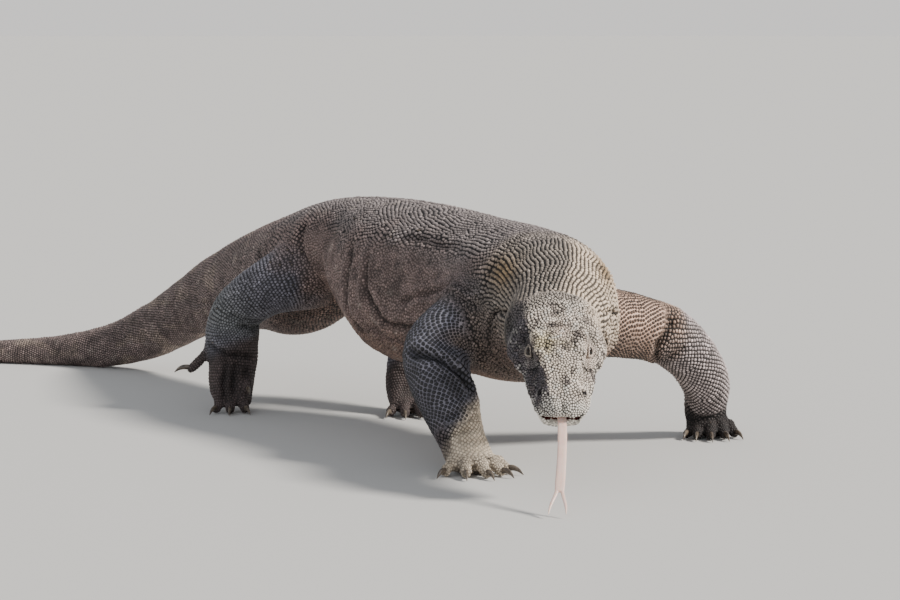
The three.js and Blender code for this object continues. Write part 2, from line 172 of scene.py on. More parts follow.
def section(x, y, back, belly, half, widest, keel):
    z = belly + widest * (back - belly)
    return (x, y, z, half, back - z, z - belly, keel)


body = Flesh("body", [section(*row) for row in SPINE], RIGHT, upright=True)

# %% [markdown]
# ## The head
# The head is made level in a frame of its own, nose along +Y, mouth line at height zero, and is
# then pitched down and turned to the animal's right. The jaw drops a few degrees on its own hinge.


# %% Skull and jaw
class Place:
    """A turn and a shift, forth from a part's own frame to the animal's and back."""

    def __init__(self, turn, shift):
        self.turn, self.shift = np.array(turn), np.array(shift, float)

    def forth(self, points):
        return points @ self.turn.T + self.shift

    def back(self, points):
        return (points - self.shift) @ self.turn


def about_x(degrees):
    c, s = math.cos(math.radians(degrees)), math.sin(math.radians(degrees))
    return np.array([[1, 0, 0], [0, c, -s], [0, s, c]])


def about_z(degrees):
    c, s = math.cos(math.radians(degrees)), math.sin(math.radians(degrees))
    return np.array([[c, -s, 0], [s, c, 0], [0, 0, 1]])


NAPE, PITCH, TURN, JAW_DROP = (119, -116, 251), 36, 148.4, 5
JAW_JOINT = np.array([0.0, 30.0, -6.0])
head_place = Place(about_z(TURN) @ about_x(-PITCH), NAPE)
drop = about_x(-JAW_DROP)
jaw_place = Place(head_place.turn @ drop, head_place.forth(JAW_JOINT - drop @ JAW_JOINT))
SKULL = [  # along, half width, crown, base
    (-22, 55, 44, -40), (8, 66, 53, -43), (42, 71, 57, -40), (68, 68, 58, -22), (95, 61, 58, -3),
    (125, 52, 52, 0), (158, 46, 43, 0), (188, 43, 36, 0), (203, 37, 29, 1), (211, 24, 20, 5),
]
JAW = [
    (22, 59, -12, -44), (62, 58, -1, -38), (105, 52, -1, -31), (150, 43, -1, -25),
    (183, 38, -1, -21), (199, 31, -2, -17), (206, 18, -5, -12),
]


def bump(value, centre, spread):
    """One soft hill of height 1."""
    return np.exp(-(((value - centre) / spread) ** 2))


def step(value, low, high):
    """A smooth climb from 0 at low to 1 at high."""
    u = np.clip((value - low) / (high - low), 0, 1)
    return u * u * (3 - 2 * u)


def brow_and_lore(angle, along):
    degrees = np.degrees(np.arctan2(np.sin(angle), np.abs(np.cos(angle))))
    brow = 5 * bump(along, 98, 20) * bump(degrees, 52, 15)
    return brow - 3.5 * bump(along, 150, 22) * bump(degrees, 30, 16)


skull = Flesh("skull", [(0, y, 0, half, crown, -base) for y, half, crown, base in SKULL], RIGHT,
              full=2.6, taper=0.24, swell=brow_and_lore, place=head_place)
jaw = Flesh("jaw", [(0, y, crown, half, 0, crown - base) for y, half, crown, base in JAW], RIGHT,
            place=jaw_place)

# %% [markdown]
# ## Limbs and toes
# A limb runs from inside the body to the knuckles. Five toes fan out from there, each a short loft
# that falls from the knuckle to the ground, with a hooked claw on its end.

# %% Limbs, from inside the body to the knuckles
LIMBS = {  # x, y, z, half width, front, rear
    "arm_right": [
        (228, 182, 222, 48, 50, 50), (172, 194, 216, 54, 54, 54), (124, 200, 205, 54, 54, 54),
        (91, 185, 177, 53, 53, 50), (80, 150, 134, 50, 48, 49), (82, 115, 84, 44, 42, 42),
        (85, 91, 46, 40, 34, 34), (81, 66, 22, 44, 24, 24), (77, 40, 12, 42, 14, 14)],
    "arm_left": [
        (340, 216, 232, 52, 55, 52), (414, 196, 215, 60, 58, 55), (480, 178, 204, 57, 55, 52),
        (548, 164, 185, 51, 50, 48), (602, 160, 143, 45, 46, 44), (638, 168, 94, 41, 42, 40),
        (655, 189, 50, 38, 36, 34), (656, 188, 23, 40, 25, 25), (649, 171, 12, 39, 14, 14)],
    "leg_right": [
        (264, 852, 264, 62, 60, 60), (206, 868, 247, 60, 56, 56), (164, 894, 223, 52, 47, 49),
        (133, 925, 187, 48, 43, 46), (124, 935, 146, 51, 48, 48), (121, 929, 98, 48, 38, 42),
        (113, 920, 50, 44, 28, 32), (107, 908, 17, 39, 18, 19)],
    "leg_left": [
        (360, 905, 262, 56, 58, 58), (405, 866, 242, 56, 58, 56), (428, 814, 208, 54, 55, 54),
        (424, 772, 168, 50, 50, 48), (406, 750, 122, 44, 42, 44), (386, 740, 76, 40, 34, 36),
        (374, 724, 38, 40, 26, 28), (368, 698, 12, 40, 16, 18)],
}
limbs = {name: Flesh(name, rows, LEFT) for name, rows in LIMBS.items()}

# %% Toes and claws
FEET = {  # heading in degrees, kind of foot, spread of its toes
    "arm_right": (-103, "front", 1), "arm_left": (-122, "front", 0.5),
    "leg_right": (-122, "lifted", 1), "leg_left": (-104, "hind", 1),
}
TOES = {  # turn, start to the inner side, start to the back, length, height of root and tip
    "front": [(38, 29, 14, 34, 18, 8), (20, 17, 5, 42, 18, 8), (2, 0, 0, 46, 18, 8),
              (-18, -18, 5, 42, 18, 8), (-46, -30, 20, 38, 18, 8)],
    "hind": [(34, 27, 10, 38, 20, 8), (16, 13, 2, 48, 20, 8), (0, -3, 0, 56, 20, 8),
             (-16, -19, 2, 58, 20, 8), (-70, -28, 34, 50, 26, 8)],
    "lifted": [(10, 26, 10, 26, 54, 44), (22, 15, 4, 30, 24, 8), (0, -2, 0, 32, 24, 8),
               (-20, -19, 4, 30, 24, 8), (-91, -12, 30, 70, 132, 78)],
}
TOE_THICK, TOE_ARCH, CLAW_LENGTH, CLAW_THICK = 11, 5, 30, 5.2
UP = np.array([0.0, 0.0, 1.0])


def digit(name, start, way, rows):
    """A small loft along a heading: rows of along, height, thickness."""
    travel = np.array([math.cos(way), math.sin(way), 0.0])
    stations = [(*(start + travel * along)[:2], height, thick, thick, thick)
                for along, height, thick in rows]
    return Flesh(name, stations, np.cross(UP, travel))


toes, horns = {}, {}
for limb, (heading, kind, spread) in FEET.items():
    mirror = 1 if limb.endswith("right") else -1
    heading = math.radians(heading)
    ahead = np.array([math.cos(heading), math.sin(heading), 0.0])
    inwards = np.cross(UP, ahead) * mirror
    ball = np.array([*LIMBS[limb][-1][:2], 0.0])
    for k, (turn, inner, back, length, root, tip) in enumerate(TOES[kind], 1):
        start = ball + inwards * inner - ahead * back
        way = heading + math.radians(turn * spread) * mirror
        fall = (root - tip) / 2
        toes[f"{limb}_{k}"] = digit(f"toe_{limb}_{k}", start, way, [
            (0, root, TOE_THICK), (length * 0.35, root - fall / 2 + TOE_ARCH, TOE_THICK),
            (length * 0.7, tip + fall / 2 + 2, TOE_THICK * 0.9),
            (length * 0.95, tip, TOE_THICK * 0.82), (length * 1.03, tip, TOE_THICK * 0.45)])
        horns[f"{limb}_{k}"] = digit(f"claw_{limb}_{k}", start, way, [
            (length * 0.85, tip + 2, CLAW_THICK),
            (length + CLAW_LENGTH * 0.25, tip + 3.5, CLAW_THICK * 0.9),
            (length + CLAW_LENGTH * 0.6, tip + 0.5, CLAW_THICK * 0.62),
            (length + CLAW_LENGTH * 0.9, tip - 6.3, CLAW_THICK * 0.12)])
fleshes = [body, skull, jaw, *limbs.values(), *toes.values()]
print(len(fleshes), "lengths of flesh,", len(horns), "claws")

# %% [markdown]
# ## Meshes out of lofts
# A loft becomes a mesh by joining each ring to the next with quads and closing both ends with a
# fan of triangles. Blender takes all the corners at once from arrays, which is quick.


# %% Rings into a closed net
def ring_quads(rings, sides):
    """Quads between each ring of a stack and the next."""
    a = np.arange(rings * sides)
    b = a - a % sides + (a + 1) % sides
    return np.stack([a, b, b + sides, a + sides], 1).tolist()


def net(flesh, rings, sides, grow=0.0):
    """Points and faces of a loft, closed at both ends."""
    t = np.repeat(np.linspace(0, flesh.last, rings + 1), sides)
    angle = np.tile((np.arange(sides) + 0.5) * 2 * np.pi / sides, rings + 1)
    points = flesh.point(t, angle, grow)
    faces = ring_quads(rings, sides)
    ends = np.stack([points[:sides].mean(0), points[-sides:].mean(0)])
    first, last = rings * sides, len(points)
    for k in range(sides):
        faces.append([last, (k + 1) % sides, k])
        faces.append([last + 1, first + k, first + (k + 1) % sides])
    return np.vstack([points, ends]), faces


def to_world(points):
    """Millimetres of the animal's plan as metres about the origin."""
    return (points - MIDDLE) * MM


def mesh_of(name, points, faces):
    """A mesh from points in metres and faces that are lists of corners."""
    data = bpy.data.meshes.new(name)
    data.from_pydata(points.tolist(), [], faces)
    data.validate()
    data.update()
    return data


def smooth_shaded(data):
    data.polygons.foreach_set("use_smooth", np.ones(len(data.polygons), bool))


def add_object(name, data):
    """A new object in the scene, made from a mesh, a lamp or a camera."""
    made = bpy.data.objects.new(name, data)
    bpy.context.scene.collection.objects.link(made)
    return made


def melt_down(made, voxel):
    """The mesh of an object after a voxel remesh. The object itself is taken away."""
    remesh = made.modifiers.new("melt", "REMESH")
    remesh.mode = "VOXEL"
    remesh.voxel_size = voxel
    seen = made.evaluated_get(bpy.context.evaluated_depsgraph_get())
    data = bpy.data.meshes.new_from_object(seen)
    bpy.data.objects.remove(made)
    return data


def join_nets(nets):
    """Several nets as one list of points and one of faces."""
    points, faces, count = [], [], 0
    for some, quads in nets:
        points.append(some)
        faces += [[corner + count for corner in face] for face in quads]
        count += len(some)
    return np.vstack(points), faces


# %% [markdown]
# ## Melting the lofts into one skin
# The lofts cross each other at shoulders, hips and knuckles. A voxel remesh fills them like wax in
# a mould and gives one closed surface. It is drawn 1.3 mm inside the solids, to leave room for the
# scales. The head needs finer faces than the back, so its faces are split once more, the face in
# front of the ears again, and the lids and nostrils a third time.

# %% One closed skin
COAT = 1.3  # mm, how high the scales stand
SKIN_VOXEL = 0.0046  # metres
NET = {"body": (340, 96), "skull": (110, 96), "jaw": (80, 64)}


def fineness(flesh):
    """Rings and sides of a flesh's net."""
    if flesh.name in NET:
        return NET[flesh.name]
    return (90, 48) if flesh.name in limbs else (16, 20)


nets = {flesh.name: net(flesh, *fineness(flesh), grow=-COAT) for flesh in fleshes}
points, faces = join_nets(nets.values())
melted = melt_down(add_object("melt", mesh_of("melt", to_world(points), faces)), SKIN_VOXEL)

# %% Finer faces for the face
EYE = {"radius": 9.0, "side": 41.5, "along": 97.0, "up": 34.0}
NOSTRIL = (180.0, 25.0)  # along and up, on both sides of the snout
NOSTRIL_SIZE = (4.6, 3.1)  # half length and half height
EAR = (18, 8, 5.5, 9.0)  # along, up, half length and half height
FRONT_OF_EARS = 62  # mm along the head


def head_mm(points):
    """Places in the head's own frame: aside, along and up."""
    return head_place.back(points)


def whole_head(own):
    near = (own[:, 1] > -20) & (own[:, 1] < 230) & (np.abs(own[:, 0]) < 90)
    return near & (own[:, 2] > -62) & (own[:, 2] < 75)


def face_only(own):
    return whole_head(own) & (own[:, 1] > FRONT_OF_EARS)


def eyes_and_nostrils(own):
    x = np.abs(own[:, 0])
    eye = np.sqrt((x - EYE["side"]) ** 2 + (own[:, 1] - EYE["along"]) ** 2
                  + (own[:, 2] - EYE["up"]) ** 2)
    nose = np.hypot(own[:, 1] - NOSTRIL[0], own[:, 2] - NOSTRIL[1])
    return (eye < 18) | ((nose < 9) & (x > 15))


clay = bmesh.new()
clay.from_mesh(melted)
for zone in (whole_head, face_only, eyes_and_nostrils):
    near = zone(head_mm(np.array([vert.co for vert in clay.verts]) / MM + MIDDLE))
    edges = [edge for edge in clay.edges if near[edge.verts[0].index] and near[edge.verts[1].index]]
    bmesh.ops.subdivide_edges(clay, edges=edges, cuts=1, use_grid_fill=True)
    clay.verts.index_update()
bmesh.ops.triangulate(clay, faces=[face for face in clay.faces if len(face.verts) > 4])
clay.to_mesh(melted)
clay.free()
count = len(melted.vertices)
skin = np.empty(count * 3)
melted.vertices.foreach_get("co", skin)
skin = skin.reshape(-1, 3) / MM + MIDDLE
pairs = np.empty(len(melted.edges) * 2, int)
melted.edges.foreach_get("vertices", pairs)
pairs = pairs.reshape(-1, 2)
print("skin:", count, "points,", len(melted.polygons), "faces")

# %% [markdown]
# ## Which flesh lies under each point
# For every point of the skin the nearest place on the lofts is found, and the point is moved there,
# since a remesh only comes close. The same search says which loft it belongs to, and how far
# along and round it is.


# %% Owners of the skin
def tree_of(some):
    """A search tree over the nets of some flesh."""
    points, faces = join_nets(nets[flesh.name] for flesh in some)
    return BVHTree.FromPolygons(points.tolist(), faces)


ANYWHERE = 1e9  # mm, further than anything


def nearest(tree, points, reach=ANYWHERE):
    """Nearest place, face and distance in a tree for each point."""
    spots, index, far = points.copy(), np.full(len(points), -1), np.full(len(points), reach)
    for k, point in enumerate(points.tolist()):
        spot, _, face, distance = tree.find_nearest(point, reach)
        if spot is not None:
            spots[k], index[k], far[k] = spot, face, distance
    return spots, index, far


face_flesh, face_t = [], []
for k, flesh in enumerate(fleshes):
    rings, sides = fineness(flesh)
    middle = (np.repeat(np.arange(rings), sides) + 0.5) * flesh.last / rings
    face_t.append(np.concatenate([middle, np.tile([0.0, flesh.last], sides)]))
    face_flesh.append(np.full(len(face_t[-1]), k))
face_flesh, face_t = np.concatenate(face_flesh), np.concatenate(face_t)
everything = tree_of(fleshes)


def owners(points):
    """For places on the skin: the nearest spot on flesh, its loft, t and angle."""
    spots, face, _ = nearest(everything, points)
    owner = face_flesh[face]
    t, angle = face_t[face].copy(), np.zeros(len(points))
    for k, flesh in enumerate(fleshes):
        mine = owner == k
        if mine.any():
            t[mine], angle[mine] = flesh.read(spots[mine], t[mine])
    return spots, owner, t, angle


skin, owner, t, angle = owners(skin)
OWNER = {flesh.name: k for k, flesh in enumerate(fleshes)}
print("owners found:", {flesh.name: int((owner == k).sum()) for k, flesh in enumerate(fleshes[:7])})


# %% [markdown]
# ## Soft joins
# Where a limb leaves the body, real skin bridges the corner in a soft web. The rule is the one used
# for blending distance fields: the nearer a point is to the other flesh, the further it is lifted.
# Rounds of averaging with the neighbours then take out the last of the corner, and round off the
# snout and the back of the head.

# %% Lift and smooth the corners
edge_length = np.linalg.norm(skin[pairs[:, 0]] - skin[pairs[:, 1]], axis=1)
valence = np.bincount(pairs.ravel(), minlength=count)
mean_edge = np.bincount(pairs.ravel(), np.repeat(edge_length, 2), count) / valence


def smoothed(values, weight, rounds):
    """Average with the neighbours, only where the weight is above zero."""
    values = values.copy()
    busy = weight > 0
    some = pairs[busy[pairs[:, 0]] | busy[pairs[:, 1]]]
    one, two = np.concatenate([some[:, 0], some[:, 1]]), np.concatenate([some[:, 1], some[:, 0]])
    pull = weight[busy, None] / valence[busy, None]
    for _ in range(rounds):
        total = np.stack([np.bincount(one, values[two, k], count)
                          for k in range(values.shape[1])], 1)
        values[busy] += pull * (total[busy] - values[busy] * valence[busy, None])
    return values


def point_normals(points):
    """Move the skin's mesh to these points and read its normals."""
    melted.vertices.foreach_set("co", to_world(points).ravel())
    melted.update()
    normals = np.empty(count * 3)
    melted.vertex_normals.foreach_get("vector", normals)
    return normals.reshape(-1, 3)


def named(prefix):
    return [flesh for flesh in fleshes if flesh.name.startswith(prefix)]


def both_ways(some, others, reach):
    """Two kinds of flesh that bridge towards each other from within reach, in mm."""
    return [(some, others, reach), (others, some, reach)]


JOINS = both_ways([body], named("arm_"), 72) + both_ways([body], named("leg_"), 60)
JOINS += both_ways([body], [skull], 74) + both_ways([body], [jaw], 50)
for limb in limbs:
    JOINS += both_ways([limbs[limb]], named(f"toe_{limb}"), 12)
lift, corner = np.zeros(count), np.zeros(count)
for mine, others, reach in JOINS:
    ours = np.isin(owner, [OWNER[flesh.name] for flesh in mine])
    box = np.vstack([nets[flesh.name][0] for flesh in others])
    ours &= ((skin > box.min(0) - reach) & (skin < box.max(0) + reach)).all(1)
    _, _, far = nearest(tree_of(others), skin[ours], reach)
    lift[ours] = np.maximum(lift[ours], (reach - far) ** 2 / (4 * reach))
    corner[ours] = np.maximum(corner[ours], (reach - far) / reach)
normals = unit(smoothed(point_normals(skin), np.full(count, 0.5), 3))
skin = skin + normals * lift[:, None]
coarse = np.clip((mean_edge / 2.6) ** -2, 0.2, 1)  # fine faces need as many rounds as coarse ones
skin = smoothed(skin, np.clip(corner * 1.6 - 0.1, 0, 1) * 0.75 * coarse, 70)
in_skull, in_jaw = owner == OWNER["skull"], owner == OWNER["jaw"]
in_head = in_skull | in_jaw
snout = step(head_mm(skin)[:, 1], 186, 204) * in_head
skin = smoothed(skin, 0.7 * snout, 60)
nape = bump(head_mm(skin)[:, 1], 5, 22) * (corner > 0.3) * (mean_edge < 2)
skin = smoothed(skin, 0.8 * nape, 120)
skin = smoothed(skin, np.full(count, 0.15), 4)
print("corners lifted by up to", round(lift.max(), 1), "mm")

# %% [markdown]
# ## Folds of the body
# A big lizard wears its skin loosely. It hangs in folds on the neck and flank and creases at every
# joint. Each fold is a path over the body, given by how far along the spine it runs and how high
# on the side. On one side of the path the skin hangs over, on the other it is tucked under.


# %% Tools for folds
def wave_noise(points, size, seed):
    """Smooth noise between -1 and 1: random values on a lattice, blended between its corners."""
    scaled = points / size + seed * 17.3
    base = np.floor(scaled).astype(np.int64)
    u = scaled - base
    u = u * u * (3 - 2 * u)
    total = np.zeros(len(points))
    for dx in (0, 1):
        for dy in (0, 1):
            for dz in (0, 1):
                x, y, z = (base + [dx, dy, dz]).T
                mixed = (x * 73856093) ^ (y * 19349663) ^ (z * 83492791) ^ (seed * 2654435)
                mixed = (mixed ^ (mixed >> 13)) * 1274126177
                value = ((mixed ^ (mixed >> 16)) & 65535) / 32767.5 - 1
                weight = np.where(dx, u[:, 0], 1 - u[:, 0]) * np.where(dy, u[:, 1], 1 - u[:, 1])
                total += value * weight * np.where(dz, u[:, 2], 1 - u[:, 2])
    return total


def from_path(x, y, path):
    """Distance of places (x, y) from a path of straight legs, and on which side of it they are."""
    best, side, done = np.full(len(x), ANYWHERE), np.ones(len(x)), np.zeros(len(x))
    for k, ((x0, y0), (x1, y1)) in enumerate(zip(path, path[1:])):
        dx, dy = x1 - x0, y1 - y0
        u = ((x - x0) * dx + (y - y0) * dy) / (dx * dx + dy * dy + 1e-9)
        held = np.clip(u, 0, 1)
        away = np.hypot(x - x0 - held * dx, y - y0 - held * dy)
        closer = away < best
        best = np.where(closer, away, best)
        side = np.where(closer, np.sign(dx * (y - y0) - dy * (x - x0)), side)
        done = np.where(closer, (k + held) / (len(path) - 1), done)
    return best, side, done


def fold(found, width, depth, hang):
    """A crease along a path that fades at its ends. hang makes the left side roll over."""
    away, side, done = found
    fade = step(done, -0.02, 0.12) * (1 - step(done, 0.88, 1.02))
    roll = 0.4 * bump(away, 2.4 * width, 1.4 * width) - bump(away, 0, width)
    over = np.where(side > 0, np.exp(-away / (5 * width)), -0.5 * np.exp(-away / (2 * width)))
    return fade * depth * (roll + hang * over)


# %% Folds of neck, flank and tail
reel = np.linspace(0, body.last, 1201)
line = between(body.rows, reel)[:, :3]
reeled = run_along(line)


def spine_mm(t):
    """Length along the spine from its first station."""
    return np.interp(t, reel, reeled)


GIRTH = 2.3  # mm of skin for one degree round the trunk
FLANK_FOLDS = [  # path of t and degrees above the side's middle; width; depth; hang
    ([(6.5, 32), (6.45, 18), (6.37, 7), (6.18, -1), (5.89, -11), (5.57, -14), (5.2, -14),
      (4.7, -10)], 5, 5.5, 0.5),
    ([(5.5, 3), (5.2, 6), (4.87, 10), (4.4, 13), (3.95, 18)], 4, 4.5, 0.3),
    ([(4.15, 12), (3.8, 7), (3.4, 6), (3.0, 3)], 5, 6.5, 0.4),
    ([(3.95, 20), (3.65, 14), (3.3, 13)], 4, 4.5, 0.3),
    ([(4.5, 2), (4.1, 4), (3.8, 0)], 4, 4, 0.2),
    ([(3.5, 84), (3.3, 62), (3.15, 44), (3.1, 28), (2.95, 12)], 6, 2, 0.3),
    ([(5.9, 44), (5.3, 47), (4.8, 44), (4.4, 46)], 6, 2.5, 0.2),
    ([(2.95, -34), (2.7, -8), (2.35, 4), (1.9, 9), (1.5, 12)], 5, 5, 0.4),
    ([(2.2, -40), (1.9, -18), (1.4, -6)], 5, 4, 0.3),
    ([(7.15, 34), (7.0, 18), (6.95, 4), (6.9, -14), (6.6, -30)], 7, 4, -0.3),
    ([(8.9, 14), (8.3, -6), (7.7, -24)], 8, 4, 0.2),
    ([(10.9, 28), (10.7, 2), (10.2, -40)], 8, 4.5, 0.2),
    ([(15.6, -10), (15.1, -18), (14.8, -34)], 5, 2.5, 0.2),
    ([(13.2, 30), (12.8, 8), (12.6, -20)], 8, 2.5, 0.2),
]
FLANK_STRENGTH, LIMB_STRENGTH = 1.9, 1.3  # all folds deeper by this much


def side_degrees(angle):
    """Degrees above the middle of the side, on either side."""
    return np.degrees(np.arctan2(np.sin(angle), np.abs(np.cos(angle))))


def body_relief(t, angle, places):
    """Folds, rings and small waves of the neck, trunk and tail."""
    degrees = side_degrees(angle)
    along, high = spine_mm(t), degrees * GIRTH
    sway = 4 * wave_noise(places, 36, 1)
    relief = np.zeros(len(t))
    for path, width, depth, hang in FLANK_FOLDS:
        track = [(spine_mm(a), b * GIRTH) for a, b in path]
        found = from_path(along + sway, high + sway, track)
        relief += FLANK_STRENGTH * fold(found, width, depth, hang)
    relief += 6 * bump(t, 4.0, 0.5) * bump(degrees, 40, 16)  # shoulder blade
    neck = step(t, 0.3, 0.8) * (1 - step(t, 3.0, 4.0))
    rings = np.sin(2 * np.pi * (along + 10 * wave_noise(places, 55, 2)) / 15)
    outer = 1 + 1.2 * (np.cos(angle) < 0) * (1 - step(degrees, 50, 80))
    relief += neck * 0.8 * outer * rings * (0.6 + 0.4 * wave_noise(places, 30, 3))
    low = 1 - step(degrees, -50, 10)
    relief += neck * low * 1.8 * np.sin(2 * np.pi * (along + 12 * wave_noise(places, 60, 4)) / 24)
    relief -= 5 * (1 - step(t, 0.2, 1.1)) * bump(degrees, -5, 32)  # narrower behind the jaw
    trunk = step(t, 3.5, 4.5) * (1 - step(t, 12, 14))
    relief += trunk * 3.0 * wave_noise(places * [1, 0.55, 1], 34, 5) * (1 - step(degrees, 30, 70))
    relief += trunk * 1.5 * wave_noise(places, 12, 6) * (1 - 0.7 * step(degrees, 40, 60))
    tail = step(t, 13, 15)
    relief += tail * 1.4 * wave_noise(places * [1, 0.6, 1], 24, 7) * (1 - step(t, 19, 22))
    keel = bump(np.abs(np.cos(angle)), 0, 0.12) * (np.sin(angle) > 0)
    return relief + 2.2 * keel * step(t, 11, 14.5) * (1 - step(t, 21, 23.5))


# %% [markdown]
# ## Creases of the limbs
# The upper arm rolls over the forearm at the elbow in one deep crease, and the thigh over the shin.
# Wrist and ankle have a few shallow rings. Between the toes the grooves run on up the foot, where
# the long bones of hand and foot lie under the skin.

# %% Limb folds
LIMB_FOLDS = {  # path of t and degrees round the limb; width; depth; hang over the part below
    "arm_right": [
        ([(3.05, 178), (3.3, 155), (3.55, 125), (3.71, 108), (3.83, 92), (4.1, 76), (4.4, 64),
          (4.7, 44)], 5, 7, 0.7),
        ([(5.0, 170), (5.15, 130), (5.1, 92), (4.95, 60)], 4, 2.5, 0.2),
        ([(5.6, 200), (5.85, 160), (5.9, 120), (5.75, 80)], 4, 3.5, 0.4),
        ([(6.3, 190), (6.5, 140), (6.5, 95), (6.35, 50)], 3.5, 2.2, 0.3)],
    "arm_left": [
        ([(2.75, 78), (2.64, 105), (2.56, 134), (2.46, 155), (2.63, 178), (3.1, 190)], 5, 7, 0.5),
        ([(3.25, 104), (3.1, 130), (3.05, 160), (3.3, 185)], 4, 3.5, 0.3),
        ([(5.7, 60), (5.85, 100), (5.8, 150), (5.6, 190)], 4, 3.5, 0.4),
        ([(1.1, 60), (1.05, 110), (1.1, 160)], 6, 3, 0.2)],
    "leg_right": [
        ([(3.1, 40), (3.2, 70), (3.3, 95), (3.5, 112)], 5, 5, 0.5),
        ([(4.3, 185), (4.62, 158), (4.87, 131), (4.97, 96), (4.95, 55)], 4.5, 6, 0.6),
        ([(5.15, 150), (5.3, 115), (5.25, 75)], 3.5, 2.2, 0.2),
        ([(2.4, 60), (2.7, 95), (2.95, 120), (3.1, 140)], 5, 2.5, 0.3)],
    "leg_left": [
        ([(3.1, 40), (3.3, 90), (3.2, 140)], 5, 4, 0.4),
        ([(4.85, 30), (4.95, 90), (4.85, 150)], 4, 5, 0.5),
        ([(5.4, 40), (5.5, 90), (5.4, 140)], 3.5, 2.5, 0.2),
        ([(4.3, 40), (4.4, 90), (4.3, 140)], 3.5, 2.5, 0.2)],
}
TOE_GROOVES = {  # degrees round the limb, from which t, depth
    "arm_right": ((62, 88, 112, 138), 6.9, 2.2), "arm_left": ((62, 84, 106, 128), 6.9, 2.2),
    "leg_right": ((72, 100, 128), 5.0, 9.0), "leg_left": ((66, 90, 114), 5.6, 4.0),
}
MUSCLES = {  # t, degrees, spread in t and degrees, height
    "arm_right": [(4.3, 150, 0.6, 40, 4), (4.75, 50, 0.35, 26, 5), (2.2, 110, 0.7, 45, 4),
                  (5.7, 100, 0.5, 90, -3)],
    "arm_left": [(4.2, 90, 0.7, 40, 4), (1.7, 130, 0.6, 50, 3), (3.0, 80, 0.3, 30, 3),
                 (5.5, 110, 0.5, 90, -2)],
    "leg_right": [(1.6, 130, 0.8, 50, 4), (3.0, 165, 0.5, 30, 4), (4.2, 110, 0.4, 60, 2),
                  (4.9, 110, 0.3, 90, -2)],
    "leg_left": [(1.6, 130, 0.8, 50, 3), (4.2, 90, 0.4, 60, 2)],
}
LIMB_FRONT = 115.0  # degrees round a limb that face ahead


def front_degrees(angle):
    """Angle in degrees, from 180 below the front of the limb to 180 above it."""
    return (np.degrees(angle) - LIMB_FRONT + 180) % 360 - 180 + LIMB_FRONT


def limb_mm(flesh, t):
    """Length along a limb from its first station."""
    reel = np.linspace(0, flesh.last, 401)
    return np.interp(t, reel, run_along(between(flesh.rows, reel)[:, :3]))


def limb_relief(name, t, angle, places):
    """Creases, muscles and toe grooves of one limb."""
    flesh, degrees = limbs[name], front_degrees(angle)
    round_mm = flesh.rows[:, 3].mean() * math.pi / 180
    sway = 2.5 * wave_noise(places, 22, 8)
    along, around = limb_mm(flesh, t) + sway, degrees * round_mm + sway
    relief = 1.4 * wave_noise(places, 30, 9) + 0.6 * wave_noise(places, 11, 10)
    for path, width, depth, hang in LIMB_FOLDS[name]:
        track = [(limb_mm(flesh, a), b * round_mm) for a, b in path]
        if track[0][1] < track[-1][1]:
            track = track[::-1]
        relief += LIMB_STRENGTH * fold(from_path(along, around, track), width, depth, -hang)
    for at, turn, spread, wide, high in MUSCLES[name]:
        relief += high * bump(t, at, spread) * bump(degrees, turn, wide)
    between_toes, start, depth = TOE_GROOVES[name]
    for turn in between_toes:
        relief -= depth * bump(degrees + 2 * sway, turn, 8) * step(t, start, start + 0.7)
    return relief


def toe_relief(t, angle):
    """Knuckles and cross folds on top of a toe."""
    knuckles = 1.5 * bump(t, 1.1, 0.28) + 1.2 * bump(t, 2.2, 0.25) - 0.9 * bump(t, 1.7, 0.2)
    return knuckles * step(np.sin(angle), -0.4, 0.5) - 0.4 * bump(np.sin(t * 9.0), 1, 0.5)


# %% [markdown]
# ## The face
# The face is what people look at, so it gets real forms: a lid that wraps the eyeball, a brow ridge
# that runs on to the nostril, a pit for the nostril, an ear hole, rolled lips and the bulge of the
# jaw muscle. Round the eye, points are moved along lines from the eyeball's centre: inside the
# almond of the opening they sink behind the ball, and outside it they lie on it like a real lid.

# %% Lids
LID = 1.6  # mm thick
OPENING = (8.6, 6.3)  # half length and half height of the eye's opening
LENGTHWISE = np.array([0, 1.0, -0.12])  # the way the opening lies
SUNK = 2.5  # mm that the skin inside the opening lies behind the ball's surface
NEAR_EYE, LID_REACH, ROUND_EYE = 24, 26, 30  # mm from the eyeball's centre


def eye_frame(side):
    """Centre of an eyeball and the ways out, along and up. side is 1 right, -1 left."""
    centre = np.array([side * EYE["side"], EYE["along"], EYE["up"]])
    axis = unit(np.array([side * 0.85, 0.24, 0.46]))
    length = unit(LENGTHWISE - axis * (LENGTHWISE @ axis))
    return centre, axis, length, np.cross(length, axis) * -side


def round_eye(own, side):
    """Way and distance from the eyeball's centre, how far out from the opening a place lies, and
    how far from the axis, in mm along the ball."""
    centre, axis, length, rise = eye_frame(side)
    away = own - centre
    far = np.maximum(np.linalg.norm(away, axis=1), 1e-6)
    turn = np.arccos(np.clip(away @ axis / far, -1, 1)) * EYE["radius"]
    spin = np.arctan2(away @ rise, away @ length)
    lid_line = np.where(np.sin(spin) > 0, OPENING[1] * 0.85, OPENING[1])
    u, v = turn * np.cos(spin) / OPENING[0], np.abs(turn * np.sin(spin) / lid_line)
    opening = (v + np.sqrt(v * v + 4 * u * u)) / 2  # 1 on an almond with pointed corners
    return away / far[:, None], far, opening, turn


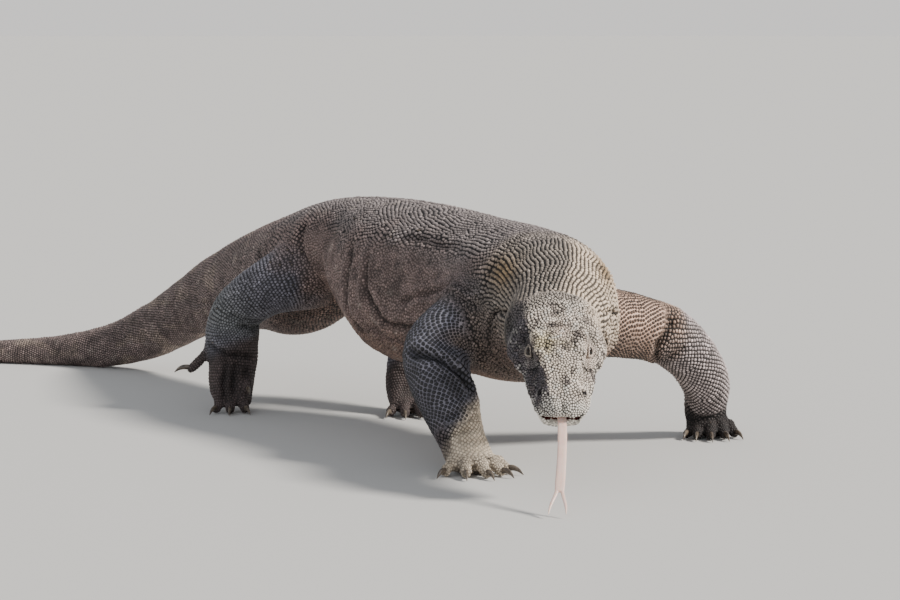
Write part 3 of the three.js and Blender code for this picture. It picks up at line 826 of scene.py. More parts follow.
def lids(own):
    """Move head points round each eye on to its lids."""
    moved = own.copy()
    for side in (1, -1):
        ray, far, opening, turn = round_eye(own, side)
        lid = EYE["radius"] + LID + 1.0 * bump(opening, 1.3, 0.16) - 1.2 * bump(opening, 1.6, 0.12)
        lid += 1.6 * bump(opening, 1.9, 0.2) - 0.8 * bump(opening, 2.3, 0.15)
        wanted = EYE["radius"] - SUNK + (lid - EYE["radius"] + SUNK) * step(opening, 0.9, 1.1)
        hold = (1 - step(opening, 1.6, 2.9)) * (turn < 2.2 * EYE["radius"]) * (far < LID_REACH)
        moved += ray * ((wanted - far) * hold)[:, None]
    return moved


# %% Ridges, pits and lips
def pit(own, along, up, long, high):
    """Distance from the middle of a pit on both sides of the head, in units of its size."""
    return np.hypot((own[:, 1] - along) / long, (own[:, 2] - up) / high)


def ridge(own, path, width):
    """A rounded ridge along a path of along and up."""
    return bump(from_path(own[:, 1], own[:, 2], path)[0], 0, width)


def face_relief(own):
    """Outward relief of the head in its own frame: x aside, y along, z up."""
    x, y, z = np.abs(own[:, 0]), own[:, 1], own[:, 2]
    # canthal ridge, from the eye to the nostril
    relief = 4.4 * ridge(own, [(112, 47), (150, 41), (184, 33)], 4.2) * step(x, 14, 24)
    # brow ridge
    relief += 3.8 * ridge(own, [(76, 50), (98, 50), (114, 45)], 4.6) * step(x, 16, 30)
    # dome above each eye, the groove inside it, and the forehead between them
    relief += 5.0 * bump(x, 33, 9) * bump(y, 82, 14) * (z > 20)
    relief -= 3.4 * bump(x, 18, 5) * bump(y, 88, 26) * (z > 20)
    relief += 2.0 * bump(x, 0, 7) * bump(y, 92, 30) * (z > 20)
    # dip across the crown, and wrinkles across the snout
    relief -= 3.0 * bump(y, 62, 5 + 0.1 * x) * (z > 30)
    relief += 1.6 * np.sin(y / 4.4 + x / 9) * bump(y, 138, 26) * bump(x, 0, 16) * (z > 20)
    # temple, the hollow behind the jaw, and the jaw muscle
    relief += 3.6 * bump(y, 40, 17) * bump(z, 40, 12) * step(x, 22, 40)
    relief -= 7.0 * bump(y, 12, 17) * bump(z, 4, 20) * step(x, 30, 45)
    relief += 6.0 * bump(y, 56, 20) * bump(z, -8, 14) * step(x, 30, 50)
    # cheek under the eye, and the swollen side of the snout
    relief += 6.0 * bump(y, 92, 15) * bump(z, 4, 9) * step(x, 30, 50)
    relief += 4.2 * bump(y, 144, 22) * bump(z, 7, 9) * step(x, 22, 36)
    # furrow along the back of the head, with a swelling on each side
    relief -= 2.6 * bump(x, 0, 8) * bump(y, 40, 30) * (z > 0)
    relief += 2.0 * bump(x, 17, 9) * bump(y, 50, 30) * (z > 0)
    # grooves behind, in front of and under the eye
    relief -= 5.0 * bump(y, 69, 6) * bump(z, 26, 16) * step(x, 30, 45)
    relief -= 5.0 * bump(y, 126, 11) * bump(z, 26, 8) * step(x, 22, 36)
    relief -= 4.0 * bump(y, 98, 20) * bump(z, 15, 4.0) * step(x, 30, 45)
    # furrow along the snout, the swelling round the nostril, and small dents
    relief -= 3.0 * bump(x, 0, 5) * step(y, 150, 172) * (z > 15)
    relief += 4.6 * bump(y, NOSTRIL[0], 10) * bump(z, NOSTRIL[1], 8) * step(x, 12, 22)
    relief += 1.3 * wave_noise(own * [1, 0.6, 1], 7, 14) * (z > 0)
    nostril = pit(own, *NOSTRIL, *NOSTRIL_SIZE)
    relief += step(x, 14, 20) * (1.4 * bump(nostril, 1.5, 0.5) - 7.5 * bump(nostril, 0, 0.8))
    for side in (1, -1):
        _, far, opening, _ = round_eye(own, side)
        groove = 2.8 * bump(opening, 3.1, 0.4) * step(y, 80, 100)
        relief += (far < ROUND_EYE) * (1.8 * (1 - step(opening, 2.2, 3.1)) - groove)
    ear = pit(own, *EAR)
    relief += step(x, 30, 45) * (1.8 * bump(ear, 1.5, 0.5) - 7.0 * bump(ear, 0, 0.8))
    relief += 0.5 * wave_noise(own, 9, 12) + 0.7 * wave_noise(own, 17, 13)
    corner_fold, _, _ = from_path(y, z, [(92, -4), (70, -7), (50, -5)])  # corner of the mouth
    return relief - 3.0 * bump(corner_fold, 0, 2.2) * (1 - step(y, 86, 96))


SKULL_FRONT, JAW_FRONT = 209, 204  # mm along the head
UPPER_LIP, LOWER_LIP = 4.5, 6.5  # mm of lip before the gum begins
MOUTH_CORNER = 60  # mm along the head
FLOOR_GAP = 0.5  # mm, the lowest that skin may come


def rim_distance(own, rows, front):
    """How far in from the outer edge of a jaw a place lies, seen from above."""
    rows = np.array(rows, float)
    return np.minimum(np.interp(own[:, 1], rows[:, 0], rows[:, 1]) - np.abs(own[:, 0]),
                      (front - own[:, 1]) * 0.8)


def upper_lip(own):
    """A roll with a groove above it, gentler round the front of the snout."""
    y, z = own[:, 1], own[:, 2]
    roll = step(y, 60, 90) * (1.7 * bump(z, 4, 3.4) - 0.9 * bump(z, 11, 2.5))
    front = step(y, 196, 206)
    return roll * (1 - front) + front * (1.2 * bump(z, 4, 3.0) - 0.6 * bump(z, 10, 2.0))


def lower_lip_rise(own):
    """The lower lip stands up round the mouth's floor, higher towards the front."""
    rim = rim_distance(own, JAW, JAW_FRONT)
    height = np.clip(0.078 * (own[:, 1] - 32), 0, 12.3)
    tongue_gap = 1 - 0.35 * bump(own[:, 0], 0, 9) * step(own[:, 1], 170, 195)
    return height * bump(rim, 2.0, 3.6) * step(own[:, 2], -20, -8) * tongue_gap


# %% Press folds and face into the skin
relief = np.zeros(count)
mine = owner == OWNER["body"]
relief[mine] = body_relief(t[mine], angle[mine], skin[mine])
for name in limbs:
    mine = owner == OWNER[name]
    relief[mine] = limb_relief(name, t[mine], angle[mine], skin[mine])
for flesh in toes.values():
    mine = owner == OWNER[flesh.name]
    relief[mine] = toe_relief(t[mine], angle[mine])
own, jaw_own = head_mm(skin), jaw_place.back(skin)
relief[in_skull] = face_relief(own[in_skull]) + upper_lip(own[in_skull])
relief[in_jaw] = 0.7 * wave_noise(skin[in_jaw], 14, 11) + 1.5 * bump(jaw_own[in_jaw, 2], -7, 3.5)
calm = np.where((own[:, 1] > 55) & in_head, 0.0, 0.35)
relief = smoothed(relief[:, None], np.maximum(calm, 0.7 * (corner > 0.55)), 3)[:, 0]
normals = unit(smoothed(point_normals(skin), np.full(count, 0.4), 2))
faces_down = normals @ head_place.turn[:, 2] < -0.5
faces_up = normals @ jaw_place.turn[:, 2] > 0.5
palate = in_skull & faces_down & (own[:, 1] > 66) & (own[:, 2] < 4)
mouth_floor = in_jaw & faces_up & (own[:, 1] > MOUTH_CORNER)
relief[palate | mouth_floor] = 0
gum = palate & (rim_distance(own, SKULL, SKULL_FRONT) > UPPER_LIP)
gum |= mouth_floor & (rim_distance(jaw_own, JAW, JAW_FRONT) > LOWER_LIP)
skin = skin + normals * relief[:, None]
rise = np.where(in_jaw & (own[:, 1] > MOUTH_CORNER), lower_lip_rise(jaw_own), 0)
skin = skin + rise[:, None] * jaw_place.turn[:, 2]
own = head_mm(skin)
near_face = (own[:, 1] > 60) & (own[:, 1] < 140) & in_skull
skin[near_face] = head_place.forth(lids(own[near_face]))
skin[:, 2] = np.maximum(skin[:, 2], FLOOR_GAP)
normals = point_normals(skin)
print("relief from", round(relief.min(), 1), "to", round(relief.max(), 1), "mm")

# %% [markdown]
# ## Colours by rule
# The hide is painted by rules, not by hand: a dusky brown ground, slate on the limbs, a pale head,
# an ochre patch on the shoulder, a warm pale side of the neck. Some of the paint is light and
# shade:
# painted sunlight on the crown, the snout, the left side of the neck, the left arm and the right
# wrist, painted glints on the crowns of scales, and painted shade on the right side of the head and
# neck, round the right arm, on the left hand, under the throat, in creases and pits, and in the
# grooves between scales. Each rule is a soft mask from the place along and round the flesh. The
# colours are worked out on the skin, softened where limbs meet the body, and each scale then takes
# the colour of the skin under it, so they always agree.


# %% Named colours
def srgb(red, green, blue):
    """A colour as given, turned to the linear values that shaders use."""
    value = np.array([red, green, blue]) / 255
    return np.where(value <= 0.04045, value / 12.92, ((value + 0.055) / 1.055) ** 2.4)


DUSK = srgb(118, 100, 95)
BACK = srgb(116, 107, 105)
PAUNCH = srgb(126, 102, 90)
# painted shade, warmed by light thrown up from the floor, for the underside of throat and chest
SHADED_THROAT = srgb(98, 72, 60)
OCHRE = srgb(136, 114, 86)
NECK = srgb(124, 114, 105)
# pale hide with painted sunlight on it, for the left side of the neck and nape
PALE_SUNLIT_SIDE = srgb(226, 204, 180)
TAIL = srgb(115, 100, 96)
TAIL_PALE = srgb(152, 136, 122)
# the head's pale ground, partly painted sunlight
PALE_SUNLIT_CROWN = srgb(226, 211, 195)
BROW = srgb(216, 200, 152)
# dark sides of the head, with painted shade on them
SHADED_CHEEK = srgb(72, 66, 70)
LIP = srgb(244, 238, 226)
# the pale lid cushion, partly painted sunlight where it is used on the left
CUSHION = srgb(224, 204, 188)
SLATE = srgb(94, 92, 100)
KNEE = srgb(100, 102, 102)
LOAM = srgb(74, 63, 61)
# pale dust with painted sunlight on it, for the right wrist and hand
SUNLIT_DUST = srgb(236, 218, 194)
# the left arm's colours, paler than the right arm's: partly painted sunlight
SUNLIT_CLAY = srgb(152, 127, 112)
SUNLIT_FOREARM = srgb(162, 150, 148)
UMBER = srgb(98, 86, 80)
# the gum's red, darkened with painted shade inside the mouth
SHADED_GUM = srgb(112, 58, 52)
PITCH_BLACK = srgb(26, 20, 19)
MUD = srgb(70, 58, 56)
BLOOM = srgb(150, 138, 130)
FOREHEAD = srgb(134, 112, 98)
DARK_SPOTS = srgb(84, 74, 72)
# painted shade and shadow for the dome above the left eye
SHADED_DOME, DOME_SHADOW_RIM = srgb(146, 133, 122), srgb(60, 52, 50)
# the lid's colour in painted shade, for the right eye
SHADED_LID = srgb(176, 164, 150)


def paint(colour, other, mask):
    """Lay another colour over a colour where the mask is 1."""
    return colour + (other - colour) * np.clip(mask, 0, 1)[:, None]


# %% Markings of body and limbs
# the upper edge of the fine hide: t, and degrees above the middle of the side
FINE_RIGHT = ([2.1, 2.5, 2.9, 3.2, 3.6, 4.1, 6.0, 6.7, 7.6], [-60, -8, 8, 20, 30, 37, 40, 34, 28])
FINE_LEFT = ([3.4, 3.8, 4.4, 5.2], [-60, -8, 10, 26])


def flank_share(t, angle, soft=4):
    """1 low on the flank, where the hide is fine, 0 on the back, neck and tail. The fine hide
    reaches further forward on the right, where the arm is drawn back."""
    edge = np.where(np.cos(angle) > 0, np.interp(t, *FINE_RIGHT), np.interp(t, *FINE_LEFT))
    return step(edge - side_degrees(angle), -soft, soft) * (1 - step(t, 10.2, 11.0))


def body_colour(t, angle, places):
    """Neck, trunk and tail: each mask is softened or broken up with noise."""
    degrees, left = side_degrees(angle), np.cos(angle) < 0
    cloud, mottle = wave_noise(places, 45, 20), wave_noise(places, 14, 25)
    colour = np.tile(DUSK, (len(t), 1))
    colour = paint(colour, BACK, step(degrees + 14 * cloud + 5 * mottle, 24, 60))
    colour = paint(colour, PAUNCH, step(-degrees + 10 * cloud, 0, 35) * 0.8)
    colour = paint(colour, NECK, 1 - step(t + 0.4 * cloud, 2.6, 4.0))
    # painted shade: the underside of the throat and chest is darker and warmer, as if lit from the
    # floor
    throat_shade = (1 - step(t, 2.9, 3.6)) * step(-degrees, 5, 40)
    colour = paint(colour, SHADED_THROAT, throat_shade)
    # the left side of the neck is pale, with painted sunlight on it
    pale = (1 - step(t, 2.6, 3.6)) * left * (1 - step(degrees, 64, 84)) * step(degrees, -40, 0)
    colour = paint(colour, PALE_SUNLIT_SIDE, pale * (0.85 + 0.3 * cloud))
    shade = (1 - step(t, 0.7, 1.7)) * (1 - step(degrees, 38, 56)) * ~left
    colour = paint(colour, 0.45 * NECK, 0.8 * shade)
    shoulder = bump(t, 2.65, 0.5) * bump(degrees, 37, 14)
    colour = paint(colour, OCHRE, 1.1 * shoulder)
    # painted shade between the flank and the top of the right arm
    shade_above_arm = bump(t, 3.6, 0.7) * bump(degrees, 14, 13) * ~left
    colour = paint(colour, 0.5 * SLATE, 0.8 * shade_above_arm)
    # painted shade on the chest under the right arm
    armpit_shade = (1 - step(t, 3.2, 3.9)) * step(t, 1.9, 2.6) * (1 - step(degrees, -5, 14)) * ~left
    colour = paint(colour, UMBER, 0.8 * armpit_shade)
    colour = paint(colour, TAIL, step(t, 11.6, 13.6))
    blotch = step(wave_noise(places * [1, 0.6, 1.4], 22, 21), 0.2, 0.6)
    colour = paint(colour, TAIL_PALE, blotch * step(t, 13, 15) * 0.5)
    colour = paint(colour, MUD, 0.55 * step(mottle, 0.1, 0.7) * step(t, 3.5, 5)
                   * (1 - step(degrees, 30, 60)))
    return paint(colour, BLOOM, 0.5 * step(-mottle, 0.45, 0.8) * step(t, 4.5, 6))


def limb_colour(name, t, angle, places):
    """Slate limbs: the right hand is sandy with dust and painted sunlight, the left arm like clay
    and partly painted sunlight, the left hand darkened with painted shade, and the feet dark.
    """
    cloud, degrees = wave_noise(places, 30, 23), front_degrees(angle)
    if name == "arm_right":
        inner = step(112 + 14 * cloud - degrees, 0, 34) * (1 - step(t, 3.0, 3.5))
        colour = paint(np.tile(SLATE, (len(t), 1)), UMBER, np.maximum(inner, 1 - step(t, 1.5, 2.0)))
        # the right wrist and hand are pale with dust and with painted sunlight
        colour = paint(colour, SUNLIT_DUST, step(t + 0.3 * cloud - (degrees - 100) / 90, 4.9, 5.8))
        # painted shade: the right forearm is darkened above the pale wrist
        colour *= (1 - 0.35 * bump(t, 4.3, 0.7))[:, None]
        return paint(colour, LOAM, step(degrees, 135, 165) * step(t, 4.9, 5.7) * 0.8)
    if name == "arm_left":
        # the left arm is paler than the right, clay above and grey-brown below: partly painted
        # sunlight
        colour = paint(np.tile(SUNLIT_CLAY, (len(t), 1)), SUNLIT_FOREARM, step(t + 0.3 * cloud, 2.7, 3.3))
        colour = paint(colour, UMBER, step(degrees, 150, 185) * 0.6)
        # painted shade: the left hand is darkened far below the other feet
        return paint(colour, 0.3 * LOAM, step(t + 0.3 * cloud, 5.2, 6.2))
    start = paint(np.tile(SLATE, (len(t), 1)), DUSK, 1 - step(t + 0.5 * cloud, 0.4, 1.5))
    start = paint(start, KNEE, bump(t, 3.3, 0.9) * 0.8)
    return paint(start, LOAM, step(t + 0.4 * cloud - (degrees - 110) / 150, 4.1, 5.0))


def netted(owner, t, angle):
    """How far a place has dark scales in a pale net, instead of pale scales with dark gaps."""
    net = np.zeros(len(t))
    degrees = front_degrees(angle)
    mine = owner == OWNER["arm_right"]
    net[mine] = step(t[mine], 1.3, 2.0) * (1 - step(t[mine], 5.0, 5.8))
    net[mine] *= step(degrees[mine], 60, 95)
    mine = owner == OWNER["arm_left"]
    net[mine] = 1 - step(t[mine], 2.3, 2.8)
    return net


def dusted(owner, t, angle):
    """How far the hide is dusty and fine, so that no dark shows between its scales."""
    dust = np.zeros(len(t))
    degrees = front_degrees(angle)
    mine = owner == OWNER["body"]
    dust[mine] = flank_share(t[mine], angle[mine], 10) * (0.15 + 0.45 * step(t[mine], 3.4, 4.2))
    dust[mine] += 0.25 * step(t[mine], 12, 14)
    mine = owner == OWNER["arm_right"]
    dust[mine] = 0.8 * step(t[mine] - (degrees[mine] - 100) / 90, 5.0, 5.8)
    for name in ("leg_right", "leg_left"):
        mine = owner == OWNER[name]
        dust[mine] = 0.3 + 0.4 * step(t[mine], 4.2, 5.0)
    dust[owner >= OWNER[next(iter(toes.values())).name]] = 0.6
    return dust


# %% Markings of the head
def head_colour(own, places, in_jaw):
    """Pale crown and lips, partly painted sunlight, a dark side on the right, partly painted shade,
    and the rims of eyes, nostrils and ears, darkened with painted shade.
    """
    x, y, z = np.abs(own[:, 0]), own[:, 1], own[:, 2]
    cloud, mottle = wave_noise(places, 18, 24), wave_noise(places, 7, 26)
    # the pale ground of the head, partly painted sunlight on crown and snout
    colour = np.tile(PALE_SUNLIT_CROWN, (len(y), 1))
    right = own[:, 0] > 0
    colour = paint(colour, BROW, bump(y, 98, 22) * bump(own[:, 0], 24, 16) * step(z, 25, 40) * 0.8)
    between_eyes = bump(y, 114, 22) * bump(own[:, 0], 2, 17) * step(cloud, -0.6, 0.4) * (z > 20)
    colour = paint(colour, BROW, 0.8 * between_eyes)
    edge = np.interp(y, [-20, 40, 80, 110, 150, 190, 215], [44, 40, 37, 29, 20, 15, 12])
    side = step(x - 0.4 * (z - 30) + 2.5 * cloud, edge, edge + 4)
    # painted shade: the sides of the head are dark, the right side, away from the light, far darker
    # than the left
    dark = np.where(right, 1.0, 0.3)
    colour = paint(colour, SHADED_CHEEK, side * dark)
    nape = 1 - step(y + 8 * cloud, -20, 50)
    # the nape keeps the painted shade of the right side
    colour = paint(colour, NECK, nape * 0.9 * (1 - 0.85 * side * right))
    # painted sunlight: the pale left side of the neck runs on over the left of the nape
    colour = paint(colour, PALE_SUNLIT_SIDE, (1 - step(y, 20, 60)) * ~right * step(x, 35, 55) * 0.8)
    # snout front, upper lip and lower lip are paler on the left than on the right: painted sunlight
    # on the left, painted shade on the right
    front = step(y + 8 * cloud, 184, 204)
    colour = paint(colour, LIP, front * np.where(own[:, 0] > 8, 0.55, 0.9))
    colour = paint(colour, LIP, bump(z, 3, 4) * step(y, 90, 130) * np.where(right, 0.4, 0.8))
    colour = paint(colour, LIP, in_jaw * step(jaw_place.back(places)[:, 2], -13, -6)
                   * step(y, 110, 150) * np.where(right, 0.6, 0.9))
    forehead = bump(own[:, 0], -4, 18) * bump(y, 74, 26) * (z > 20)
    colour = paint(colour, FOREHEAD, 0.65 * forehead)
    # a dark patch on top of the snout, just left of the middle
    colour = paint(colour, DARK_SPOTS, 0.8 * bump(own[:, 0], -7, 7) * bump(y, 172, 9) * (z > 20))
    # painted shade: the dome above the left eye is darkened, with a darker ring of painted shadow
    # round it
    dome = np.hypot((own[:, 0] + 36) / 10, (y - 80) / 14)
    colour = paint(colour, SHADED_DOME, 0.75 * (1 - step(dome, 0.7, 1.1)) * (z > 20))
    colour = paint(colour, DOME_SHADOW_RIM, 0.7 * bump(dome, 1.2, 0.16) * (z > 20))
    dirt, chalk = step(mottle + 0.4 * cloud, 0.2, 0.6), step(-mottle - 0.3 * cloud, 0.25, 0.6)
    colour = paint(colour, DARK_SPOTS, 0.8 * dirt * (1 - 0.5 * front))
    colour = paint(colour, LIP, 0.65 * chalk * np.where(side > 0.5, 0.3, 1))
    for side in (1, -1):
        _, far, opening, _ = round_eye(own, side)
        near, left = far < NEAR_EYE, side < 0
        # the pale swollen cushion is painted round the left eye far more than the right: partly its
        # own colour, partly painted sunlight
        swollen = near * (1 - step(opening + 0.4 * mottle, 1.7, 2.7)) * (0.65 if left else 0.1)
        colour = paint(colour, CUSHION, swollen)
        # painted shade in the groove round the cushion
        groove = (far < ROUND_EYE) * bump(opening, 3.1, 0.3) * step(y, 88, 104)
        colour = paint(colour, PITCH_BLACK, 0.5 * groove)
        # the lid's rim is pale on the lit left and a shaded copy on the right: painted light and
        # shade
        lid = near * (1 - step(opening, 1.2, 1.45))
        colour = paint(colour, CUSHION if left else SHADED_LID, 0.9 * lid)
        # painted shade in the creases at the lid's edges, and nearly black inside the opening
        # between lid and ball
        lid_crease_shade = bump(opening, 1.6, 0.12) + bump(opening, 1.0, 0.08)
        colour = paint(colour, PITCH_BLACK, 0.6 * near * lid_crease_shade)
        colour = paint(colour, PITCH_BLACK, near * (1 - step(opening, 0.98, 1.08)))
    # painted shade: nostrils and ear holes are painted nearly black
    pit_shade = bump(pit(own, *NOSTRIL, *NOSTRIL_SIZE), 0, 1.0) * step(x, 15, 22)
    pit_shade += bump(pit(own, *EAR), 0, 0.8) * step(x, 30, 45)
    return paint(colour, PITCH_BLACK, 1.2 * pit_shade)


# %% Paint the skin
def hide_colour(owner, t, angle, places):
    """Colour of the hide at places, whose loft, t and angle are known."""
    colour = np.tile(DUSK, (len(places), 1))
    mine = owner == OWNER["body"]
    colour[mine] = body_colour(t[mine], angle[mine], places[mine])
    for name in limbs:
        mine = owner == OWNER[name]
        colour[mine] = limb_colour(name, t[mine], angle[mine], places[mine])
    for name, flesh in toes.items():
        mine = owner == OWNER[flesh.name]
        # the left hand's toes are darkened the same way: painted shade
        colour[mine] = LOAM * (0.3 if name.startswith("arm_left") else 1.0)
        # the right hand's toes take the same dusty, sunlit pale, dimmed
        if name.startswith("arm_right"):
            colour[mine] = SUNLIT_DUST * 0.5
    mine = (owner == OWNER["skull"]) | (owner == OWNER["jaw"])
    colour[mine] = head_colour(head_mm(places[mine]), places[mine], owner[mine] == OWNER["jaw"])
    return colour


colour = hide_colour(owner, t, angle, skin)
# painted shade: the hide is darkened in its creases, the deeper the darker, less so on the head
crease = np.clip(-smoothed(relief[:, None], np.full(count, 0.5), 2)[:, 0], 0, 6)
crease[in_head] *= 0.7
colour *= np.exp(-0.2 * crease)[:, None]
in_corner = np.where(in_jaw | (in_skull & (own[:, 1] > 40)), 0, step(corner, 0.35, 0.8) * 0.8)
colour = smoothed(colour, in_corner, 40)
masks = smoothed(np.stack([netted(owner, t, angle), dusted(owner, t, angle)], 1), in_corner, 40)
masks[:, 0] = step(masks[:, 0] + 0.2 * wave_noise(skin, 8, 27), 0.42, 0.58)
masks[:, 1] *= 1 - masks[:, 0]
# On plain hide the grooves are darkened far below the hide's colour and the crowns brightened:
# partly the hide's own tones, partly painted shade in the grooves and painted glints on the crowns
GAP, RIM, TOP = (0.08, 2.3, 0.7), (0.16, 2.1, 0.85), (1.42, 0.24, 1.15)  # plain, netted, dusty


def toned(masks, tones):
    """Brightness of gap, rim or top where the hide is plain, netted or dusty."""
    plain, net, dust = tones
    return (plain + (net - plain) * masks[:, :1] + (dust - plain) * masks[:, 1:]).clip(0.05, 3)


lips = in_jaw * step(jaw_place.back(skin)[:, 2], -16, -8) * step(own[:, 1], 110, 150)
masks[:, 1] = np.maximum(masks[:, 1], 0.6 * lips)
bare = gum.copy()
for side in (1, -1):
    _, far, opening, _ = round_eye(own, side)
    # fine, low-contrast scales on the left cushion only, with its painted sunlight
    swollen = in_skull * (far < NEAR_EYE) * 0.35 * (1 - step(opening, 1.7, 2.7)) * (side < 0)
    masks[:, 1] = np.maximum(masks[:, 1], swollen)
    bare |= (far < NEAR_EYE) & (opening < 1.25) & in_skull
# the skin between scales takes the groove tone, with its painted shade
between_scales = colour * toned(masks, GAP)
between_scales[bare] = 0.85 * colour[bare]
# the gums are a darkened red: painted shade inside the mouth
between_scales[gum] = SHADED_GUM

# %% The skin as an object
melted.vertices.foreach_set("co", to_world(skin).ravel())
melted.update()
melted.name = "skin"
hide = melted.color_attributes.new("hide", "FLOAT_COLOR", "POINT")
hide.data.foreach_set("color", np.hstack([between_scales, np.ones((count, 1))]).ravel())
smooth_shaded(melted)
skin_object = add_object("skin", melted)
skin_tree = BVHTree.FromObject(skin_object, bpy.context.evaluated_depsgraph_get())
FLESH_NODES = ["neck", "chest", "belly", "hips", "tail_base", "tail_middle", "tail_end", "tail_tip",
               "head", "lower_jaw"]
for side in ("right", "left"):
    FLESH_NODES += [f"{part}_{side}" for part in
                    ("upper_arm", "forearm", "hand", "thigh", "shin", "foot")]
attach(skin_object, "root")
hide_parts(*FLESH_NODES)

# %% [markdown]
# ## Rows of scales
# A dragon's scales are small beads, each on a tiny bone, in rows that run across the body. A row is
# laid at every few millimetres along a loft, with its roots spaced evenly along the skin. On the
# neck and chest the rows line up into files; elsewhere every second row is shifted by half a step,
# like bricks. Each root is then dropped on to the folded skin with a ray, so that the scales follow
# every crease. This gives an ordered look that scattered points never have.

# %% Corners of the skin's faces
polygon_count = len(melted.polygons)
starts_at, totals = np.empty(polygon_count, int), np.empty(polygon_count, int)
melted.polygons.foreach_get("loop_start", starts_at)
melted.polygons.foreach_get("loop_total", totals)
corner_point = np.empty(len(melted.loops), int)
melted.loops.foreach_get("vertex_index", corner_point)
face_points = np.stack([corner_point[starts_at + np.minimum(k, totals - 1)] for k in range(4)], 1)


def of_face(values, face):
    """Mean of a value over the corners of faces."""
    return values[face_points[face]].mean(1)


face_owner = owner[face_points[:, 0]]
face_head_y = head_mm(skin[face_points[:, 0]])[:, 1]
# t on the limb that rows of the body still reach
LENT = {"arm_right": 1.7, "arm_left": 1.1, "leg_right": 0.9, "leg_left": 0.9}
body_lands = (face_owner == OWNER["body"]) | ((face_owner == OWNER["skull"]) & (face_head_y < 30))
for name, limit in LENT.items():
    body_lands |= (face_owner == OWNER[name]) & (t[face_points[:, 0]] < limit)


# %% Roots in rows
FILE_STEP = 1.12  # the number of files round the flesh only changes in steps of this ratio
START_BODY, START_LIMB = 44, 26  # mm outside the loft where the rays start
RAY_REACH = 0.080  # metres


def rows_of_scales(flesh, t_from, t_to, pitch, spacing, offset):
    """Roots in rows, as t and angle, and the step in t. Files run on from row to row."""
    t = np.linspace(t_from, t_to, 400)
    run = run_along(between(flesh.rows, t)[:, :3])
    t_rows = np.interp(np.arange(0.5, run[-1] / pitch) * pitch, run, t)
    turn = np.linspace(0, 2 * np.pi, 181)
    found = []
    for k, here in enumerate(t_rows):
        ring = flesh.point(np.full(181, here), turn)
        length = run_along(ring)
        steps = round(math.log(length[-1] / spacing) / math.log(FILE_STEP))
        number = max(int(round(FILE_STEP ** steps)), 5)
        places = (np.arange(number) + offset * (k % 2)) / number * length[-1]
        found.append(np.stack([np.full(number, here), np.interp(places, length, turn)], 1))
    return np.vstack(found), (t_to - t_from) / max(len(t_rows), 1)


def drop_on_skin(flesh, t, angle, step_t):
    """Ray from outside each root on to the skin. Keeps those that land on their own flesh.
    Rows of the body also run on over the nape of the skull and the tops of the limbs, and rows
    of the skull over the start of the neck."""
    lands = body_lands if flesh is body else face_owner == OWNER[flesh.name]
    if flesh is skull:
        lands = lands | (face_owner == OWNER["body"])
    outside = START_BODY if flesh is body else START_LIMB
    spot = flesh.point(t, angle)
    ahead = flesh.point(np.minimum(t + step_t / 2, flesh.last), angle)
    behind = flesh.point(np.maximum(t - step_t / 2, 0), angle)
    beside = flesh.point(t, angle + 0.01) - flesh.point(t, angle - 0.01)
    along = ahead - behind
    out = unit(np.cross(beside, along))
    middle = flesh.bone(t)[0][:, :3]
    middle = flesh.place.forth(middle) if flesh.place else middle
    out *= np.sign(((spot - middle) * out).sum(1) + 1e-9)[:, None]
    starts, rays = to_world(spot + out * outside), -out
    keep, hits, hit_faces = [], [], []
    for k in range(len(t)):
        hit, _, face, _ = skin_tree.ray_cast(starts[k], rays[k], RAY_REACH)
        if hit is not None and lands[face]:
            keep.append(k)
            hits.append(hit)
            hit_faces.append(face)
    return {"spot": np.array(hits).reshape(-1, 3) / MM + MIDDLE, "face": np.array(hit_faces, int),
            "along": unit(along)[keep], "t": t[keep]}


# %% Roots scattered over the face
def scatter(faces, gap, crowd):
    """Many random places on faces, crowd of them in every square of the gap."""
    a, b, c, d = (skin[face_points[faces, k]] for k in range(4))
    area = np.linalg.norm(np.cross(c - a, d - b), axis=1) / 2
    number = rng.poisson(area * crowd / gap[faces] ** 2)
    chosen = np.repeat(faces, number)
    u, v = rng.random(len(chosen))[:, None], rng.random(len(chosen))[:, None]
    a, b, c, d = (skin[face_points[chosen, k]] for k in range(4))
    spot = (a * (1 - u) + b * u) * (1 - v) + (d * (1 - u) + c * u) * v
    order = rng.permutation(len(chosen))
    return spot[order], chosen[order]


# %% [markdown]
# ## Room for every scale
# Rows crowd together on the inside of a bend and part on the outside, and two coats meet at every
# joint. So the roots are let in one by one, the big rows first, and one that would sit too close to
# another is sent away. Bare places are then filled with smaller granules, as a mosaic is laid.

